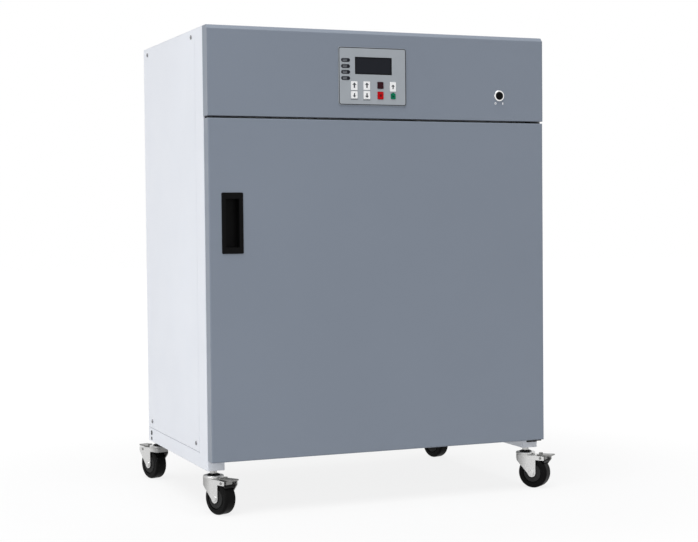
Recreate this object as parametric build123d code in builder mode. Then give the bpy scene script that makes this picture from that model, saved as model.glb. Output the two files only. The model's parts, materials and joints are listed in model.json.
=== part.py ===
"""Dry heat sterilizer: a floor-standing oven cabinet on four swivel casters.

Frame: +X to the right seen from the front, +Y to the back, +Z up, in millimetres.
The origin is on the floor, at the middle of the footprint.
Depths are measured from the front face of the door, heights from the floor.
"""
from build123d import *
import math
import os

os.makedirs("parts", exist_ok=True)

# ---------------------------------------------------------------- driving dimensions
cabinet_width = 720.0
cabinet_depth = 480.0        # body behind the door and fascia
sheet = 1.5                  # painted steel sheet
caster_height = 86.0         # floor to the underside of the rails
rail_height = 29.0
rail_width = 34.0
post_depth = 56.0            # front post, seen from the side
land_width = 42.0            # flange behind the side panel that takes its screws
seam = 0.8                   # open seam round a side panel

door_bottom = 106.0
door_height = 664.0
door_thickness = 29.0
gasket_gap = 3.5             # between the door's back and the cabinet's front
door_edge_radius = 2.0
front_gap = 4.0              # between door and fascia
fascia_height = 174.0
fascia_bevel = 7.5

side_insulation = 80.0       # cabinet's side to the chamber's wall
sill_height = 61.0           # door's lower edge to the chamber's floor
head_height = 63.0           # chamber's ceiling to the door's upper edge
liner_sheet = 1.2
liner_flange = 15.0          # liner's front flange outside the mouth
insulation_rear = 60.0       # behind the chamber
rear_bay = 58.8              # behind that insulation, for the fan motor
fit_gap = 0.3                # between neighbouring pieces that don't bear on each other
soft_edge = 0.6              # rounding of small rims, as a share of their height

plug_inset = 12.0            # door plug to chamber wall
plug_reach = 12.0            # how far the door plug enters the chamber

# ---------------------------------------------------------------- casters
wheel_radius = 32.5
wheel_width = 26.0
tread_radius = 5.0           # rounding of the tyre's edges
hub_radius = 19.0
hub_groove_radius = 22.0
hub_groove_depth = 2.0
wheel_side_gap = 1.2
trail = 21.0                 # stem axis to axle
axle_radius = 4.0
running_fit = 0.1
fork_plate = 2.0
fork_top = 69.5
fork_crown = 2.5
fork_nose = 17.5             # stem axis to the fork's leading end
fork_nose_radius = 8.0
plate_taper = (1.0, 3.0)     # how far the plates' lower corners stand off the axle boss
skirt_height = 8.0
lug_bottom = 60.0
lug_top = 68.5
lug_reach = 49.0
wide_plate_reach = 54.0
axle_boss_radius = 9.0
race_radius = 20.5
race_height = 6.0
race_groove = (2.0, 1.5)     # depth and height of the groove under the ball race
stem_radius = 6.0
stem_head_radius = 9.0
stem_nut_size = 17.0
stem_collar_radius = 7.0
stem_collar_height = 7.0
stem_top_reach = 13.0        # stem end above the rail's underside
stem_end_proud = 2.0         # stem end above its upper nut
pedal_reach = 64.0           # stem axis to pedal tip
pedal_thickness = 3.4
pedal_width = 20.0
pedal_root_height = 70.0
pedal_tip_height = 71.0
pedal_pivot = (41.0, 64.5)   # reach and height of the pedal's pin
pedal_pin_radius = 2.5
pedal_nut_size = 8.0
pedal_nut_height = 5.0
brake_gap = 3.0              # brake block to tyre, released
brake_reach = (49.5, 48.5)   # outer end of the block, at its top and its bottom
brake_bottom = 50.0
brake_neck = (-6.0, 6.5)     # neck under the lever, either side of the pin
pedal_root_gap = 1.0         # lever's root to the crown's end, and the nut to the root
pedal_pin_overhang = 1.0
stem_side_inset = 17.0       # stem axis from the cabinet's side
stem_end_inset = 20.0        # stem axis from the body's front and back
# each caster: name, side, end, and heading of its trail, anticlockwise from +X
caster_table = [
    ("front_left", -1, -1, -66.0),
    ("front_right", 1, -1, -52.0),
    ("rear_left", -1, 1, 109.0),
    ("rear_right", 1, 1, 109.0),
]

# ---------------------------------------------------------------- casing details
rail_floor = 3.0             # rail wall that carries the casters
corner_radius = 1.2
rail_hole_inset = 26.0
rail_hole_heights = (19.0, 6.5)   # above the rail's underside
rail_hole_radii = (4.2, 2.8)
rail_plug_flange = 0.8       # width and thickness of a hole plug's flange
rail_plug_length = 3.0
screw_radius = 2.0
screw_length = 9.0
screw_head_radius = 4.2
screw_head_height = 1.8
screw_slot = 1.0
screw_front_inset = 25.0     # from the front seam
screw_rear_inset = 35.0      # from the back
screw_top_inset = 14.0
screw_bottom_inset = 16.0
top_flange = 12.0
base_channel_front = 92.0    # from the body's front to the front channel
base_channel_rear = 80.0     # from the body's back to the rear channel's front
base_channel_width = 44.0

louvre_count = 7
louvre_pitch = 16.0
louvre_length = 150.0
louvre_height = 4.0
louvre_x = 150.0
louvre_above_deck = 30.0

# ---------------------------------------------------------------- air, heat and power
fan_radius = 75.0
fan_hub_radius = 14.0
fan_blade_middle = 0.78      # this and the next two are shares of the fan's radius
fan_blade_length = 0.4
fan_eye = 0.62
motor_end_fillet = 6.0
fan_blade_depth = 28.0
fan_blade_count = 12
fan_disc = 1.5
fan_wall_gap = 8.0
shaft_radius = 5.0
shaft_hole_radius = 9.0
shaft_in_motor = 22.0
motor_radius = 44.0
motor_length = 42.0
motor_plate = 150.0
motor_plate_thickness = 2.0
baffle_depth = 52.0          # baffle to the chamber's back wall
baffle_hole_radius = 5.0
baffle_hole_pitch = 16.0     # between the rings of holes
baffle_hole_rings = 4
baffle_probe_slot = 14.0
baffle_slot = (12.0, 40.0)   # width and height of an outlet slot
baffle_slot_inset = 26.0
baffle_slot_count = 8        # in each column
heater_tube_radius = 4.0
heater_rings = ((96.0, 18.0), (114.0, 32.0))   # ring radius, distance from the back wall
heater_leg_radius = 3.6
heater_leg_spread = 22.0
heater_leg_tail = 14.0
probe_radius = 3.0
probe_x = 170.0
probe_below_top = 130.0      # under the chamber's ceiling
probe_reach = 40.0           # beyond the baffle
probe_collar_radius = 8.0
vent_radius = 12.0
vent_x = -190.0
vent_below_top = 50.0        # under the chamber's ceiling
vent_flange_radius = 21.0
vent_flange = 2.5
inlet_from_side = 110.0      # from the cabinet's right side
inlet_above_deck = 60.0
inlet_width = 30.0
inlet_height = 24.0
inlet_flange = 3.0
inlet_flange_margin = 9.0
inlet_length = 32.0
inlet_recess = 16.0
inlet_wall = 3.0
inlet_pin_radius = 1.0
inlet_pins = ((-7.0, -2.0), (7.0, -2.0), (0.0, 3.0))
board_thickness = 1.6
power_board_size = (190.0, 120.0)
power_board_middle = (120.0, 220.0)   # X, and distance from the body's back
power_board_post = 10.0
power_board_edge = 8.0                # post's axis from the board's edges
post_radius = 3.5
# each block on the power board: X and Y limits from its middle, and height
power_blocks = [
    ((-80.0, -30.0), (-30.0, 30.0), 42.0),    # transformer core
    ((-72.0, -38.0), (-38.0, 38.0), 30.0),    # transformer coil
    ((-10.0, 30.0), (-45.0, -17.0), 28.0),    # relay
    ((62.0, 80.0), (-48.0, 48.0), 16.0),      # terminal strip
]
capacitor_place = (10.0, 20.0)
capacitor_radius = 11.0
capacitor_height = 34.0
terminal_count = 8
terminal_pitch = 12.0
terminal_radius = 3.0

# ---------------------------------------------------------------- shelves
shelf_levels = (1 / 3, 2 / 3)         # share of the chamber's height
upright_front = 60.0                  # behind the chamber mouth
upright_rear = 46.0                   # rear upright's front, before the air baffle
upright_width = 14.0
upright_thickness = 3.0
upright_end_gap = 8.0
runner_width = 12.0
runner_thickness = 2.0
runner_front = 42.0
runner_rear_gap = 16.0                # runner's end to the air baffle
shelf_front = 48.0                    # behind the chamber mouth
shelf_rear_gap = 18.0                 # shelf's end to the air baffle
shelf_frame_radius = 3.0
shelf_wire_radius = 1.5
shelf_wire_count = 16
shelf_side_gap = 1.0

# ---------------------------------------------------------------- door details
hinge_inset = 8.0            # pin axis from the door's right edge
hinge_depth = 17.0           # pin axis behind the door's front face
pin_radius = 4.0
pin_fit = 0.05
pin_length = 18.0
hinge_plate = 2.8
hinge_plate_width = 25.0
hinge_flange_height = 16.0
hinge_flange_drop = 5.0      # lower bracket's flange below its plate
bush_block = 16.0
bush_height = 22.0
gasket_width = 13.0
gasket_inset = 8.0           # outside the chamber mouth
gasket_clearance = 0.3
cup_width = 43.0
cup_height = 118.0
cup_from_left = 25.0
cup_above_edge = 402.8       # cup's lower end above the door's lower edge
cup_margin = 4.0             # cup rim beyond the cup's body
cup_rim = 1.6
cup_rim_radius = 2.5
cup_wall = 3.0
cup_recess_width = 27.0
cup_recess_height = 94.0
cup_recess_depth = 19.0
cup_undercut = 5.0
cup_lip = 5.0                # thickness of the front lip over the finger undercut
magnet_width = 12.0
magnet_height = 50.0
magnet_depth = 14.0
magnet_heights = (300.0, 600.0)
magnet_inset = 17.0          # from the cabinet's left side
strike_thickness = 2.6
strike_corner = 2.0
plug_corner = 5.0            # rounding of the door plug's edges
hinge_plate_nose = 4.0       # hinge plate in front of its pin

# ---------------------------------------------------------------- controls
# heights in this block are above the fascia's lower edge
panel_x = (-94.2, 50.7)
panel_heights = (25.7, 140.5)
panel_thickness = 2.0
panel_corner = 5.0
panel_edge = 0.6
panel_lap = 7.0              # panel beyond the fascia's cut-out
display_x = (-59.1, 19.5)
display_heights = (87.0, 121.1)
display_recess = 0.4
display_depth = 9.0
lens_x = -79.1
lens_heights = (114.2, 102.2, 90.7, 78.6)
lens_size = (18.6, 7.3)
lens_proud = 0.5
key_fit = 0.3
key_proud = 1.3
key_travel = 0.8
key_flange = 1.0
key_flange_margin = 0.6
key_stem_radius = 1.8
key_corner = 1.2
key_edge = 0.5
board_depth = 13.0           # controller board behind the fascia's face
board_switch = (6.0, 3.0)    # side and height of the push switch behind each key
chip_height = 5.0
# each chip on the controller board: X and Z limits from its lower left corner
board_chips = [((20.0, 50.0), (20.0, 50.0)), ((95.0, 130.0), (85.0, 97.0))]
# each key: name, X limits, height limits
key_table = [
    ("key_up_coarse", (-68.1, -54.5), (55.0, 72.7)),
    ("key_down_coarse", (-68.1, -54.5), (38.7, 53.0)),
    ("key_up_fine", (-41.6, -27.6), (56.0, 73.0)),
    ("key_down_fine", (-41.6, -27.6), (38.0, 54.0)),
    ("key_set", (-11.5, 1.0), (59.3, 72.5)),
    ("key_stop", (-11.5, 1.0), (38.3, 53.2)),
    ("key_timer", (15.0, 28.0), (54.2, 73.1)),
    ("key_start", (17.2, 27.0), (39.4, 49.8)),
]
start_key_peak = 4.0         # height of the start key's pointed top

switch_from_side = 100.6     # from the cabinet's right side
switch_height = 51.5
bezel_radius = 11.2
bezel_proud = 1.8
bezel_edge = 1.2
barrel_radius = 9.8
barrel_depth = 16.0
rocker_radius = 8.2
rocker_fit = 0.35
rocker_axis_depth = 0.6
rocker_tilt = 11.0
rocker_pin_radius = 1.5
rocker_saddle_radius = 22.0
rocker_saddle_depth = 5.6    # saddle bottom in front of the pin axis
rocker_tail = 6.0

# ---------------------------------------------------------------- places worked out
half_width = cabinet_width / 2
front_depth = door_thickness + gasket_gap
back_depth = front_depth + cabinet_depth
stem_x = half_width - stem_side_inset
front_stem_depth = front_depth + stem_end_inset
rear_stem_depth = back_depth - stem_end_inset


def stem_depth(end):
    """Depth of a caster's stem axis: end is -1 at the front and 1 at the back."""
    return front_stem_depth if end < 0 else rear_stem_depth


pedal_depths = [
    stem_depth(end) + pedal_reach * math.sin(math.radians(heading))
    for name, side, end, heading in caster_table
]
front_y = -(min(pedal_depths + [0.0]) + max(pedal_depths + [back_depth])) / 2
pedal_sides = [
    side * stem_x + pedal_reach * math.cos(math.radians(heading)) + edge * pedal_width / 2
    * math.sin(math.radians(heading))
    for name, side, end, heading in caster_table
    for edge in (-1, 1)
]
# the pedals reach further out on the right, so the footprint's middle is not the cabinet's
footprint_x = (min(pedal_sides + [-half_width]) + max(pedal_sides + [half_width])) / 2
body_y = front_y + front_depth
back_y = front_y + back_depth
rail_top = caster_height + rail_height
door_top = door_bottom + door_height
fascia_bottom = door_top + front_gap
cabinet_top = fascia_bottom + fascia_height
top_sheet_z = cabinet_top - sheet
chamber_width = cabinet_width - 2 * side_insulation
chamber_bottom = door_bottom + sill_height
chamber_top = door_top - head_height
chamber_height = chamber_top - chamber_bottom
insulation_back_y = back_y - rear_bay
chamber_back_y = insulation_back_y - insulation_rear - liner_sheet
deck_z = door_top + front_gap / 2
land_x = half_width - sheet
panel_screw_places = [
    (y, z)
    for y in (body_y + post_depth + screw_front_inset, back_y - screw_rear_inset)
    for z in (rail_top + screw_bottom_inset, cabinet_top - screw_top_inset)
]
rail_holes = [
    (caster_height + height, radius)
    for height, radius in zip(rail_hole_heights, rail_hole_radii)
]
louvre_first_z = deck_z + louvre_above_deck
fan_z = (chamber_bottom + chamber_top) / 2
vent_z = chamber_top - vent_below_top
probe_z = chamber_top - probe_below_top
inlet_middle = (half_width - inlet_from_side, deck_z + inlet_above_deck)
baffle_y = chamber_back_y - baffle_depth
upright_ys = (body_y + upright_front, baffle_y - upright_rear)
runner_y = (body_y + runner_front, baffle_y - runner_rear_gap)
shelf_y = (body_y + shelf_front, baffle_y - shelf_rear_gap)
shelf_heights = [chamber_bottom + chamber_height * level for level in shelf_levels]
heater_leg_ends = [
    (side * heater_leg_spread, fan_z - math.sqrt(ring**2 - heater_leg_spread**2), ring, gap)
    for ring, gap in heater_rings
    for side in (-1, 1)
]
hinge_x = half_width - hinge_inset
hinge_y = front_y + hinge_depth
switch_x = half_width - switch_from_side
switch_z = fascia_bottom + switch_height
panel_z = tuple(fascia_bottom + height for height in panel_heights)
display_z = tuple(fascia_bottom + height for height in display_heights)
lens_zs = [fascia_bottom + height for height in lens_heights]
door_back_y = front_y + door_thickness
inner_x = half_width - rail_width


def export(piece, name):
    """Move a finished piece to the footprint's middle, label it and write it to its own file."""
    piece.part.move(Location((-footprint_x, 0, 0)))
    piece.part.label = name
    export_step(piece.part, f"parts/{name}.step")


def block(x_range, y_range, z_range, mode=Mode.ADD):
    """A box between two limits on each axis, inside the current part."""
    sizes = [b - a for a, b in (x_range, y_range, z_range)]
    middle = [(a + b) / 2 for a, b in (x_range, y_range, z_range)]
    with Locations(tuple(middle)):
        Box(*sizes, mode=mode)


def rod_along(axis, centre, radius, length, mode=Mode.ADD):
    """A cylinder centred on a point and lying along X, Y or Z, inside the current part."""
    turns = {"X": (0, 90, 0), "Y": (90, 0, 0), "Z": (0, 0, 0)}
    with Locations(Location(centre, turns[axis])):
        Cylinder(radius, length, mode=mode)


def mirrored(x_range):
    """The same range on the other side of the cabinet."""
    return (-x_range[1], -x_range[0])


def sided(side, x_range):
    """A range given for the right side, moved to the side asked for."""
    return x_range if side > 0 else mirrored(x_range)


# ================================================================ frame and casing
def side_frame(side):
    """Front post, bottom rail, rear upright and screw land of one side, bent and welded."""
    outer = sided(side, (half_width - sheet, half_width))
    whole = sided(side, (half_width - rail_width, half_width))
    inner = sided(side, (half_width - rail_width, half_width - rail_width + sheet))
    land = sided(side, (land_x - sheet, land_x))
    land_whole = sided(side, (half_width - rail_width, land_x))
    post_y = (body_y, body_y + post_depth)
    post_z = (caster_height, top_sheet_z)
    rail_z = (caster_height, rail_top)
    rear_y = (back_y - land_width - sheet, back_y - sheet)
    with BuildPart() as frame:
        # front post: outer face, front face, return face and the land behind the panel's edge
        block(outer, post_y, post_z)
        block(whole, (body_y, body_y + sheet), post_z)
        block(land_whole, (post_y[1] - sheet, post_y[1]), post_z)
        block(land, (post_y[1] - sheet, post_y[1] + land_width), (rail_top, top_sheet_z))
        # bottom rail: a closed channel
        block(outer, (body_y, back_y), rail_z)
        block(inner, (body_y, back_y), rail_z)
        block(whole, (body_y, back_y), (caster_height, caster_height + rail_floor))
        block(whole, (body_y, back_y), (rail_top - sheet, rail_top))
        block(whole, (body_y, body_y + sheet), rail_z)
        # rear upright: an angle with the rear screw land
        block(land, rear_y, (rail_top - sheet, top_sheet_z))
        block(land_whole, (rear_y[1] - sheet, rear_y[1]), (rail_top - sheet, top_sheet_z))
        # holes: caster stems, panel screws and the two rail holes near the back
        for end in (-1, 1):
            stem = (side * stem_x, front_y + stem_depth(end), caster_height)
            rod_along("Z", stem, stem_radius + fit_gap, 4 * rail_floor, Mode.SUBTRACT)
        for y, z in panel_screw_places:
            rod_along("X", (side * land_x, y, z), screw_radius + fit_gap, 4 * sheet, Mode.SUBTRACT)
        for z, radius in rail_holes:
            place = (side * half_width, back_y - rail_hole_inset, z)
            rod_along("X", place, radius, 4 * sheet, Mode.SUBTRACT)
        outer_corner = (
            frame.edges()
            .filter_by(Axis.Z)
            .filter_by_position(Axis.Y, body_y - fit_gap, body_y + fit_gap)
            .sort_by(Axis.X)
        )[-1 if side > 0 else 0]
        fillet(outer_corner, corner_radius)
    return frame


def side_panel(side):
    """Outer side sheet with folded edges that rest on the frame's lands."""
    y_range = (body_y + post_depth + seam, back_y)
    z_range = (rail_top + seam, top_sheet_z)
    with BuildPart() as panel:
        block(sided(side, (land_x, half_width)), y_range, z_range)
        for y, z in panel_screw_places:
            rod_along("X", (side * half_width, y, z), screw_radius + fit_gap, 4 * sheet, Mode.SUBTRACT)
    return panel


with BuildPart() as panel_screws:
    for side in (-1, 1):
        for y, z in panel_screw_places:
            head_middle = (side * (half_width + screw_head_height / 2), y, z)
            shank_middle = (side * (half_width - screw_length / 2), y, z)
            rod_along("X", head_middle, screw_head_radius, screw_head_height)
            rod_along("X", shank_middle, screw_radius, screw_length)
    rims = panel_screws.edges().filter_by(GeomType.CIRCLE).filter_by(
        lambda edge: edge.radius > screw_radius + fit_gap and abs(edge.center().X) > half_width + fit_gap
    )
    fillet(rims, screw_head_height * soft_edge)
    for side in (-1, 1):
        for y, z in panel_screw_places:
            slot_middle = (side * (half_width + screw_head_height), y, z)
            with Locations(slot_middle):
                Box(screw_head_height, screw_head_radius, screw_slot, mode=Mode.SUBTRACT)
                Box(screw_head_height, screw_slot, screw_head_radius, mode=Mode.SUBTRACT)

with BuildPart() as rail_plugs:
    for side in (-1, 1):
        for z, radius in rail_holes:
            flange_middle = (side * (half_width + rail_plug_flange / 2), back_y - rail_hole_inset, z)
            body_middle = (side * (half_width - rail_plug_length / 2), back_y - rail_hole_inset, z)
            rod_along("X", flange_middle, radius + rail_plug_flange, rail_plug_flange)
            rod_along("X", body_middle, radius - fit_gap, rail_plug_length)

with BuildPart() as top_panel:
    block((-half_width, half_width), (body_y, back_y), (top_sheet_z, cabinet_top))
    flange_x = inner_x - sheet - fit_gap
    for y in (body_y + post_depth, back_y - 2 * sheet - fit_gap):
        block((-flange_x, flange_x), (y - sheet, y), (top_sheet_z - top_flange, top_sheet_z))

with BuildPart() as rear_panel:
    block((-land_x, land_x), (back_y - sheet, back_y), (rail_top, top_sheet_z))
    for column in (-1, 1):
        for row in range(louvre_count):
            z = louvre_first_z + row * louvre_pitch
            x = column * louvre_x
            with Locations(Location((x, back_y, z), (90, 0, 0))):
                Box(louvre_length, louvre_height, 4 * sheet, mode=Mode.SUBTRACT)
    vent_middle = (vent_x, back_y, vent_z)
    rod_along("Y", vent_middle, vent_radius + liner_sheet + fit_gap, 4 * sheet, Mode.SUBTRACT)
    inlet_y = (back_y - 2 * sheet, back_y + sheet)
    inlet_x = (inlet_middle[0] - inlet_width / 2 - fit_gap, inlet_middle[0] + inlet_width / 2 + fit_gap)
    inlet_z = (inlet_middle[1] - inlet_height / 2 - fit_gap, inlet_middle[1] + inlet_height / 2 + fit_gap)
    block(inlet_x, inlet_y, inlet_z, Mode.SUBTRACT)

with BuildPart() as base_pan:
    block((-inner_x, inner_x), (body_y + 2 * sheet, back_y - sheet), (rail_top - sheet, rail_top))
    for y in (body_y + base_channel_front, back_y - base_channel_rear):
        y_range = (y, y + base_channel_width)
        block((-inner_x, inner_x), y_range, (caster_height + sheet, rail_top - sheet))
        hollow_y = (y_range[0] + sheet, y_range[1] - sheet)
        hollow_z = (caster_height + 2 * sheet, rail_top - sheet)
        block((-inner_x, inner_x), hollow_y, hollow_z, Mode.SUBTRACT)

with BuildPart() as front_frame:
    block((-inner_x, inner_x), (body_y, body_y + sheet), (rail_top, deck_z))
    mouth_x = chamber_width / 2 + liner_sheet + fit_gap
    mouth_z = (
        chamber_bottom - liner_sheet - fit_gap,
        chamber_top + liner_sheet + fit_gap,
    )
    block((-mouth_x, mouth_x), (body_y - sheet, body_y + 2 * sheet), mouth_z, Mode.SUBTRACT)

with BuildPart() as control_deck:
    deck_x = inner_x - fit_gap
    block((-deck_x, deck_x), (body_y, back_y - sheet), (deck_z, deck_z + sheet))
    # turned-up front edge, welded between the posts
    block((-deck_x, deck_x), (body_y, body_y + sheet), (deck_z, deck_z + top_flange))


# ================================================================ chamber
def through_back(radii):
    """Cut the holes that the fan shaft, vent, probe and heater legs need through the back."""
    shaft, vent, probe, leg = radii
    y = chamber_back_y + insulation_rear / 2
    length = 2 * insulation_rear
    rod_along("Y", (0, y, fan_z), shaft, length, Mode.SUBTRACT)
    rod_along("Y", (vent_x, y, vent_z), vent, length, Mode.SUBTRACT)
    rod_along("Y", (probe_x, y, probe_z), probe, length, Mode.SUBTRACT)
    for x, z, ring, gap in heater_leg_ends:
        rod_along("Y", (x, y, z), leg, length, Mode.SUBTRACT)


with BuildPart() as chamber_liner:
    half = chamber_width / 2
    outer = half + liner_sheet
    flange = outer + liner_flange
    z_range = (chamber_bottom, chamber_top)
    outer_z = (chamber_bottom - liner_sheet, chamber_top + liner_sheet)
    flange_z = (outer_z[0] - liner_flange, outer_z[1] + liner_flange)
    flange_y = (body_y + sheet, body_y + sheet + liner_sheet)
    block((-outer, outer), (body_y, chamber_back_y + liner_sheet), outer_z)
    block((-flange, flange), flange_y, flange_z)
    block((-half, half), (body_y - sheet, chamber_back_y), z_range, Mode.SUBTRACT)
    through_back((
        shaft_hole_radius,
        vent_radius + liner_sheet + fit_gap,
        probe_radius + fit_gap,
        heater_leg_radius + fit_gap,
    ))

with BuildPart() as chamber_insulation:
    gap = liner_sheet + fit_gap
    front = body_y + sheet + liner_sheet + fit_gap
    step = body_y + post_depth + land_width + fit_gap
    side_x = land_x - sheet - fit_gap
    rear_step = back_y - sheet - land_width - fit_gap
    z_range = (rail_top, deck_z - fit_gap)
    cavity_x = chamber_width / 2 + gap
    cavity_z = (chamber_bottom - gap, chamber_top + gap)
    between_x = (fit_gap - cavity_x, cavity_x - fit_gap)
    # rear board, with the holes of the parts that go through it
    rear_z = (cavity_z[0] + fit_gap, cavity_z[1] - fit_gap)
    block(between_x, (chamber_back_y + gap, insulation_back_y), rear_z)
    through_back((
        shaft_hole_radius,
        vent_radius + liner_sheet + fit_gap,
        probe_radius + fit_gap,
        heater_leg_radius + fit_gap,
    ))
    # floor and ceiling boards
    block(between_x, (front, insulation_back_y), (z_range[0], cavity_z[0]))
    block(between_x, (front, insulation_back_y), (cavity_z[1], z_range[1]))
    # side boards, with a thinner board between the lands of the side frame
    outer_y = (step, min(insulation_back_y, rear_step))
    for side in (-1, 1):
        block(sided(side, (cavity_x, inner_x)), (front, insulation_back_y), z_range)
        block(sided(side, (inner_x + fit_gap, side_x)), outer_y, z_range)

with BuildPart() as air_baffle:
    baffle_x = chamber_width / 2 - fit_gap
    baffle_z = (chamber_bottom + fit_gap, chamber_top - fit_gap)
    block((-baffle_x, baffle_x), (baffle_y - liner_sheet, baffle_y), baffle_z)
    for side in (-1, 1):
        x_range = sided(side, (baffle_x - liner_sheet, baffle_x))
        block(x_range, (baffle_y, chamber_back_y - fit_gap), baffle_z)
    # air is drawn in through the middle and blown out through both margins
    with Locations(Location((0, baffle_y, fan_z), (90, 0, 0))):
        Cylinder(baffle_hole_radius, 4 * liner_sheet, mode=Mode.SUBTRACT)
        for ring in range(1, baffle_hole_rings + 1):
            with PolarLocations(ring * baffle_hole_pitch, 6 * ring):
                Cylinder(baffle_hole_radius, 4 * liner_sheet, mode=Mode.SUBTRACT)
    with Locations((probe_x, baffle_y, probe_z)):
        Box(baffle_probe_slot, 4 * liner_sheet, baffle_probe_slot, mode=Mode.SUBTRACT)
    slot_width, slot_height = baffle_slot
    for side in (-1, 1):
        for row in range(baffle_slot_count):
            z = chamber_bottom + chamber_height * (row + 1) / (baffle_slot_count + 1)
            with Locations((side * (baffle_x - baffle_slot_inset), baffle_y, z)):
                Box(slot_width, 4 * liner_sheet, slot_height, mode=Mode.SUBTRACT)

with BuildPart() as shelf_supports:
    for side in (-1, 1):
        wall = chamber_width / 2
        upright_x = sided(side, (wall - upright_thickness, wall))
        runner_x = sided(side, (wall - upright_thickness - runner_width, wall - upright_thickness))
        upright_z = (chamber_bottom + upright_end_gap, chamber_top - upright_end_gap)
        for y in upright_ys:
            block(upright_x, (y, y + upright_width), upright_z)
        for z in shelf_heights:
            block(runner_x, runner_y, (z - runner_thickness, z))
            lip_x = sided(side, (wall - upright_thickness - runner_thickness, wall - upright_thickness))
            block(lip_x, runner_y, (z - runner_width, z))


def shelf(height):
    """A wire shelf that lies on a pair of runners and slides forward."""
    frame_x = chamber_width / 2 - upright_thickness - shelf_side_gap - shelf_frame_radius
    front = shelf_y[0] + shelf_frame_radius
    back = shelf_y[1] - shelf_frame_radius
    z = height + shelf_frame_radius + fit_gap / 3
    with BuildPart() as grid:
        for x in (-frame_x, frame_x):
            rod_along("Y", (x, (front + back) / 2, z), shelf_frame_radius, back - front)
        for y in (front, back):
            rod_along("X", (0, y, z), shelf_frame_radius, 2 * frame_x)
            for x in (-frame_x, frame_x):
                with Locations((x, y, z)):
                    Sphere(shelf_frame_radius)
        pitch = 2 * frame_x / (shelf_wire_count + 1)
        for count in range(shelf_wire_count):
            x = -frame_x + pitch * (count + 1)
            rod_along("Y", (x, (front + back) / 2, z), shelf_wire_radius, back - front)
    return grid


with BuildPart() as heating_elements:
    for ring, gap in heater_rings:
        y = chamber_back_y - gap
        with Locations(Location((0, y, fan_z), (90, 0, 0))):
            Torus(ring, heater_tube_radius)
    for x, z, ring, gap in heater_leg_ends:
        front = chamber_back_y - gap
        back = insulation_back_y + heater_leg_tail
        rod_along("Y", (x, (front + back) / 2, z), heater_leg_radius, back - front)

with BuildPart() as temperature_probe:
    front = baffle_y - probe_reach
    back = insulation_back_y + heater_leg_tail
    rod_along("Y", (probe_x, (front + back) / 2, probe_z), probe_radius, back - front)
    collar = insulation_back_y + heater_leg_tail / 2
    rod_along("Y", (probe_x, collar, probe_z), probe_collar_radius, heater_leg_tail)

motor_front = insulation_back_y + motor_plate_thickness
with BuildPart() as fan_motor:
    motor_middle = (0, motor_front + motor_length / 2, fan_z)
    plate_x = (-motor_plate / 2, motor_plate / 2)
    plate_z = (fan_z - motor_plate / 2, fan_z + motor_plate / 2)
    block(plate_x, (insulation_back_y, motor_front), plate_z)
    rod_along("Y", motor_middle, motor_radius, motor_length)
    rear_rim = fan_motor.faces().sort_by(Axis.Y)[-1].edges()
    fillet(rear_rim, motor_end_fillet)
    bore = (0, insulation_back_y + shaft_in_motor / 2, fan_z)
    rod_along("Y", bore, shaft_radius + running_fit, shaft_in_motor, Mode.SUBTRACT)

fan_plane = Plane(
    origin=(0, chamber_back_y - fan_wall_gap, fan_z), x_dir=(1, 0, 0), z_dir=(0, -1, 0)
)
with BuildPart() as fan_impeller:
    with BuildSketch(fan_plane):
        Circle(fan_radius)
    extrude(amount=fan_disc)
    with BuildSketch(fan_plane):
        Circle(fan_hub_radius)
    extrude(amount=fan_blade_depth)
    with BuildSketch(fan_plane):
        with PolarLocations(fan_radius * fan_blade_middle, fan_blade_count):
            Rectangle(fan_radius * fan_blade_length, fan_disc)
    extrude(amount=fan_blade_depth)
    with BuildSketch(fan_plane.offset(fan_blade_depth - fan_disc)):
        Circle(fan_radius)
        Circle(fan_radius * fan_eye, mode=Mode.SUBTRACT)
    extrude(amount=fan_disc)
    shaft_back = insulation_back_y + shaft_in_motor - fit_gap
    shaft_front = chamber_back_y - fan_wall_gap
    shaft_middle = (0, (shaft_back + shaft_front) / 2, fan_z)
    rod_along("Y", shaft_middle, shaft_radius, shaft_back - shaft_front)

with BuildPart() as exhaust_vent:
    pipe_length = back_y - chamber_back_y
    pipe_middle = (vent_x, chamber_back_y + pipe_length / 2, vent_z)
    flange_middle = (vent_x, back_y + vent_flange / 2, vent_z)
    through_middle = (vent_x, chamber_back_y + pipe_length / 2, vent_z)
    rod_along("Y", pipe_middle, vent_radius + liner_sheet, pipe_length)
    rod_along("Y", flange_middle, vent_flange_radius, vent_flange)
    rod_along("Y", through_middle, vent_radius, 2 * pipe_length, Mode.SUBTRACT)

with BuildPart() as power_inlet:
    x, z = inlet_middle
    half_w = inlet_width / 2
    half_h = inlet_height / 2
    margin = inlet_flange_margin
    block(
        (x - half_w - margin, x + half_w + margin),
        (back_y, back_y + inlet_flange),
        (z - half_h, z + half_h),
    )
    block((x - half_w, x + half_w), (back_y - inlet_length, back_y + inlet_flange), (z - half_h, z + half_h))
    recess_y = (back_y + inlet_flange - inlet_recess, back_y + 2 * inlet_flange)
    recess_x = (x - half_w + inlet_wall, x + half_w - inlet_wall)
    recess_z = (z - half_h + inlet_wall, z + half_h - inlet_wall)
    block(recess_x, recess_y, recess_z, Mode.SUBTRACT)
    for pin_x, pin_z in inlet_pins:
        pin_middle = (x + pin_x, recess_y[0] + inlet_recess / 2 - inlet_flange / 2, z + pin_z)
        rod_along("Y", pin_middle, inlet_pin_radius, inlet_recess - inlet_flange)

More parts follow.
